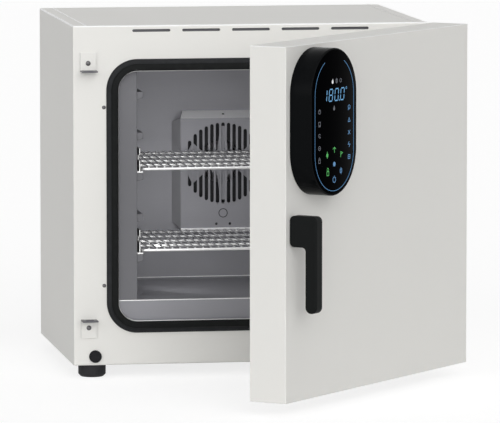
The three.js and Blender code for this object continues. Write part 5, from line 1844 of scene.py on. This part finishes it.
    def green_signs(self):
        """The four signs that say that a function is on."""
        shapes = self.stroke([(-3.0, -47.6), (1.9, -44.6), (6.2, -47.6)], 1.4)
        shapes += self.stroke([(1.9, -45.0), (1.9, -53.6)], 1.4)
        shapes.append(arc_points((-23.1, -57.0), 3.6, 0.4, 1.8 * math.pi, 12))
        shapes += self.stroke([(-23.1, -62.0), (-23.1, -51.0)], 1.3)
        shapes += self.stroke([(24.0, -63.0), (24.0, -54.0), (30.4, -56.2), (24.6, -58.6)], 1.4)
        shapes += self.square(-21.1, -89.0, 3.4, 1.3) + self.circle(-21.1, -82.2, 2.6, 1.2)
        return shapes


class CABINET_OT_handle(BuildOperator, bpy.types.Operator):
    """Build the lever handle with its rounded edges"""

    bl_idname = "cabinet.handle"
    bl_label = "Handle"

    def execute(self, context):
        sizes = settings("handle")
        low, high = shut_box("handle")
        grip = low.y + sizes.grip
        neck = high.z - sizes.neck
        outline = rounded_corners([
            (high.y, high.z, sizes.base_corner), (low.y, high.z, sizes.outer_corner),
            (low.y, low.z, sizes.tip_corner), (grip, low.z, sizes.tip_corner),
            (grip, neck, sizes.inner_corner), (high.y, neck, sizes.base_corner),
        ], 12)
        turn = door_turn()
        edge, bend = sizes.edge, quarter_round()
        steps = self.inward(outline)
        rings = []
        for side, into, round_off in ((low.x, 1, bend), (high.x, -1, bend[::-1])):
            for rise, fall in round_off:
                inset = edge * (1 - rise)
                x = side + into * edge * (1 - fall)
                rings.append([
                    turn @ Vector((x, y + step[0] * inset, z + step[1] * inset))
                    for (y, z), step in zip(outline, steps)
                ])
        made = smooth(loft("lever_handle", rings), 40.0)
        paint(made, material("lever"))
        even_shading(made)
        present(made, "handle", SLOT_OF["handle"], "handle")
        for node in ("handle_spindle", "latch_pinion", "upper_bolt_rod", "lower_bolt_rod"):
            repaint(node, material("zinc"))
        return {"FINISHED"}

    def inward(self, outline):
        """For each place of an outline, the step that moves its sides inwards by one."""
        area = sum(a[0] * b[1] - b[0] * a[1] for a, b in zip(outline, outline[1:] + outline[:1]))
        sign = 1.0 if area > 0 else -1.0
        steps = []
        for i, here in enumerate(outline):
            back = Vector(here) - Vector(outline[i - 1])
            ahead = Vector(outline[(i + 1) % len(outline)]) - Vector(here)
            across = (back.normalized() + ahead.normalized()).normalized()
            steps.append((-across.y * sign, across.x * sign))
        return steps


class CABINET_OT_rear(BuildOperator, bpy.types.Operator):
    """Build the rear cover with its louvres and screws, the exhaust and the mains inlet"""

    bl_idname = "cabinet.rear"
    bl_label = "Rear"

    # The rear screws beside the small screws
    SCREW = 1.2

    def execute(self, context):
        sizes = settings("casing")
        dress("rear_cover", material("coat"), sizes.fold, sizes.rim)
        rear = settings("rear")
        dress("exhaust_pipe", material("bright_steel"), rear.pipe_edge, rear.pipe_rim)
        dress("exhaust_flap", material("bright_steel"), rear.flap_edge)
        dress("flap_knob", material("plastic"), rear.knob_edge)
        dress("mains_inlet", material("plastic"), rear.inlet_edge)
        low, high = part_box("rear_cover")
        back, edge = high.y, rear.screw_inset
        heights = [low.z + edge + i * (high.z - low.z - 2 * edge) / 3 for i in range(4)]
        places = [(x, back, z) for z in heights for x in (low.x + edge, 0.0, high.x - edge)]
        screw_row("rear_cover_screws", places, BACKWARD, "zinc", self.SCREW)
        hoods = self.recipe().run("louvre_hoods", {
            "Length": rear.hood_length, "Rise": rear.hood_rise, "Depth": rear.hood_depth,
            "Pitch": rear.hood_pitch, "Count": rear.hoods, "Paint": material("coat"),
        }, [(side * rear.column_reach, back, rear.column_foot) for side in (-1, 1)])
        smooth(hoods, 50.0)
        present(hoods, "cabinet", SLOT_OF["rear_cover"])
        return {"FINISHED"}

    def recipe(self):
        """Pressed hoods above the rear slots: a column of them on each given point."""
        recipe = Recipe("louvre_hoods", {
            "Length": "length", "Rise": "length", "Depth": "length", "Pitch": "length", "Count": "count",
            "Paint": "material",
        })
        wide, rise, deep = (recipe.given(label) for label in ("Length", "Rise", "Depth"))
        ball = recipe.node("GeometryNodeMeshUVSphere", {}, {"Segments": 32, "Rings": 16, "Radius": 1.0})
        hood = recipe.node(
            "GeometryNodeTransform", {}, {"Geometry": ball, "Scale": recipe.vector(wide * 0.5, deep, rise)},
        )
        below = recipe.node(
            "GeometryNodeMeshCube", {}, {"Size": recipe.vector(wide * 1.2, deep * 3.0, rise * 2.0)},
        )
        low = recipe.node(
            "GeometryNodeTransform", {}, {"Geometry": below, "Translation": recipe.vector(0.0, 0.0, -rise)},
        )
        behind = recipe.node(
            "GeometryNodeTransform", {},
            {"Geometry": below, "Translation": recipe.vector(0.0, deep * -1.5, rise * 0.5)},
        )
        cut = recipe.node(
            "GeometryNodeMeshBoolean", {"operation": "DIFFERENCE", "solver": "EXACT"},
            {"Mesh 1": hood, "Mesh 2": [low, behind]},
        )
        column = recipe.repeated(
            cut, recipe.given("Count"), recipe.vector(0.0, 0.0, 2.0 * MM),
            recipe.vector(0.0, 0.0, recipe.given("Pitch")),
        )
        both = recipe.node(
            "GeometryNodeInstanceOnPoints", {},
            {"Points": recipe.source.out("Geometry"), "Instance": column},
        )
        recipe.done([both], "Paint")
        return recipe


class CABINET_OT_inner_works(BuildOperator, bpy.types.Operator):
    """Finish the wool, the motor and the electric parts inside the casing"""

    bl_idname = "cabinet.inner_works"
    bl_label = "Inner works"

    FINISHES = {
        "insulation_wrap": "wool", "insulation_rear": "wool", "door_insulation": "wool",
        "fan_motor": "enamel", "electronics_tray": "zinc", "power_board": "board",
        "display_board": "board", "relay_heatsink": "aluminium",
    }

    def execute(self, context):
        for node, key in self.FINISHES.items():
            repaint(node, material(key))
        return {"FINISHED"}


class CABINET_PT_builder(bpy.types.Panel):
    """Lists the pieces and their sizes"""

    bl_idname = "CABINET_PT_builder"
    bl_label = "Drying Cabinet"
    bl_space_type = "VIEW_3D"
    bl_region_type = "UI"
    bl_category = "Cabinet"

    def draw(self, context):
        for operator in OPERATORS:
            self.layout.operator(operator.bl_idname)
        for name, group in GROUPS.items():
            box = self.layout.box()
            box.label(text=name.capitalize())
            for key in group.__annotations__:
                box.prop(settings(name), key)


OPERATORS = (
    CABINET_OT_stage, CABINET_OT_casing, CABINET_OT_latch_plates, CABINET_OT_gasket, CABINET_OT_chamber,
    CABINET_OT_fan, CABINET_OT_shelves, CABINET_OT_door, CABINET_OT_hinges, CABINET_OT_pod,
    CABINET_OT_display, CABINET_OT_handle, CABINET_OT_rear, CABINET_OT_inner_works,
)


def register():
    for item in (*GROUPS.values(), *OPERATORS, CABINET_PT_builder):
        bpy.utils.register_class(item)
    for name, group in GROUPS.items():
        setattr(bpy.types.Scene, "cabinet_" + name, bpy.props.PointerProperty(type=group))


def unregister():
    for name in GROUPS:
        delattr(bpy.types.Scene, "cabinet_" + name)
    for item in (CABINET_PT_builder, *reversed(OPERATORS), *reversed(GROUPS.values())):
        bpy.utils.unregister_class(item)


def main():
    """Registers the tools and builds every piece in turn."""
    register()
    for operator in OPERATORS:
        group, name = operator.bl_idname.split(".")
        getattr(getattr(bpy.ops, group), name)()


if __name__ == "__main__":
    main()
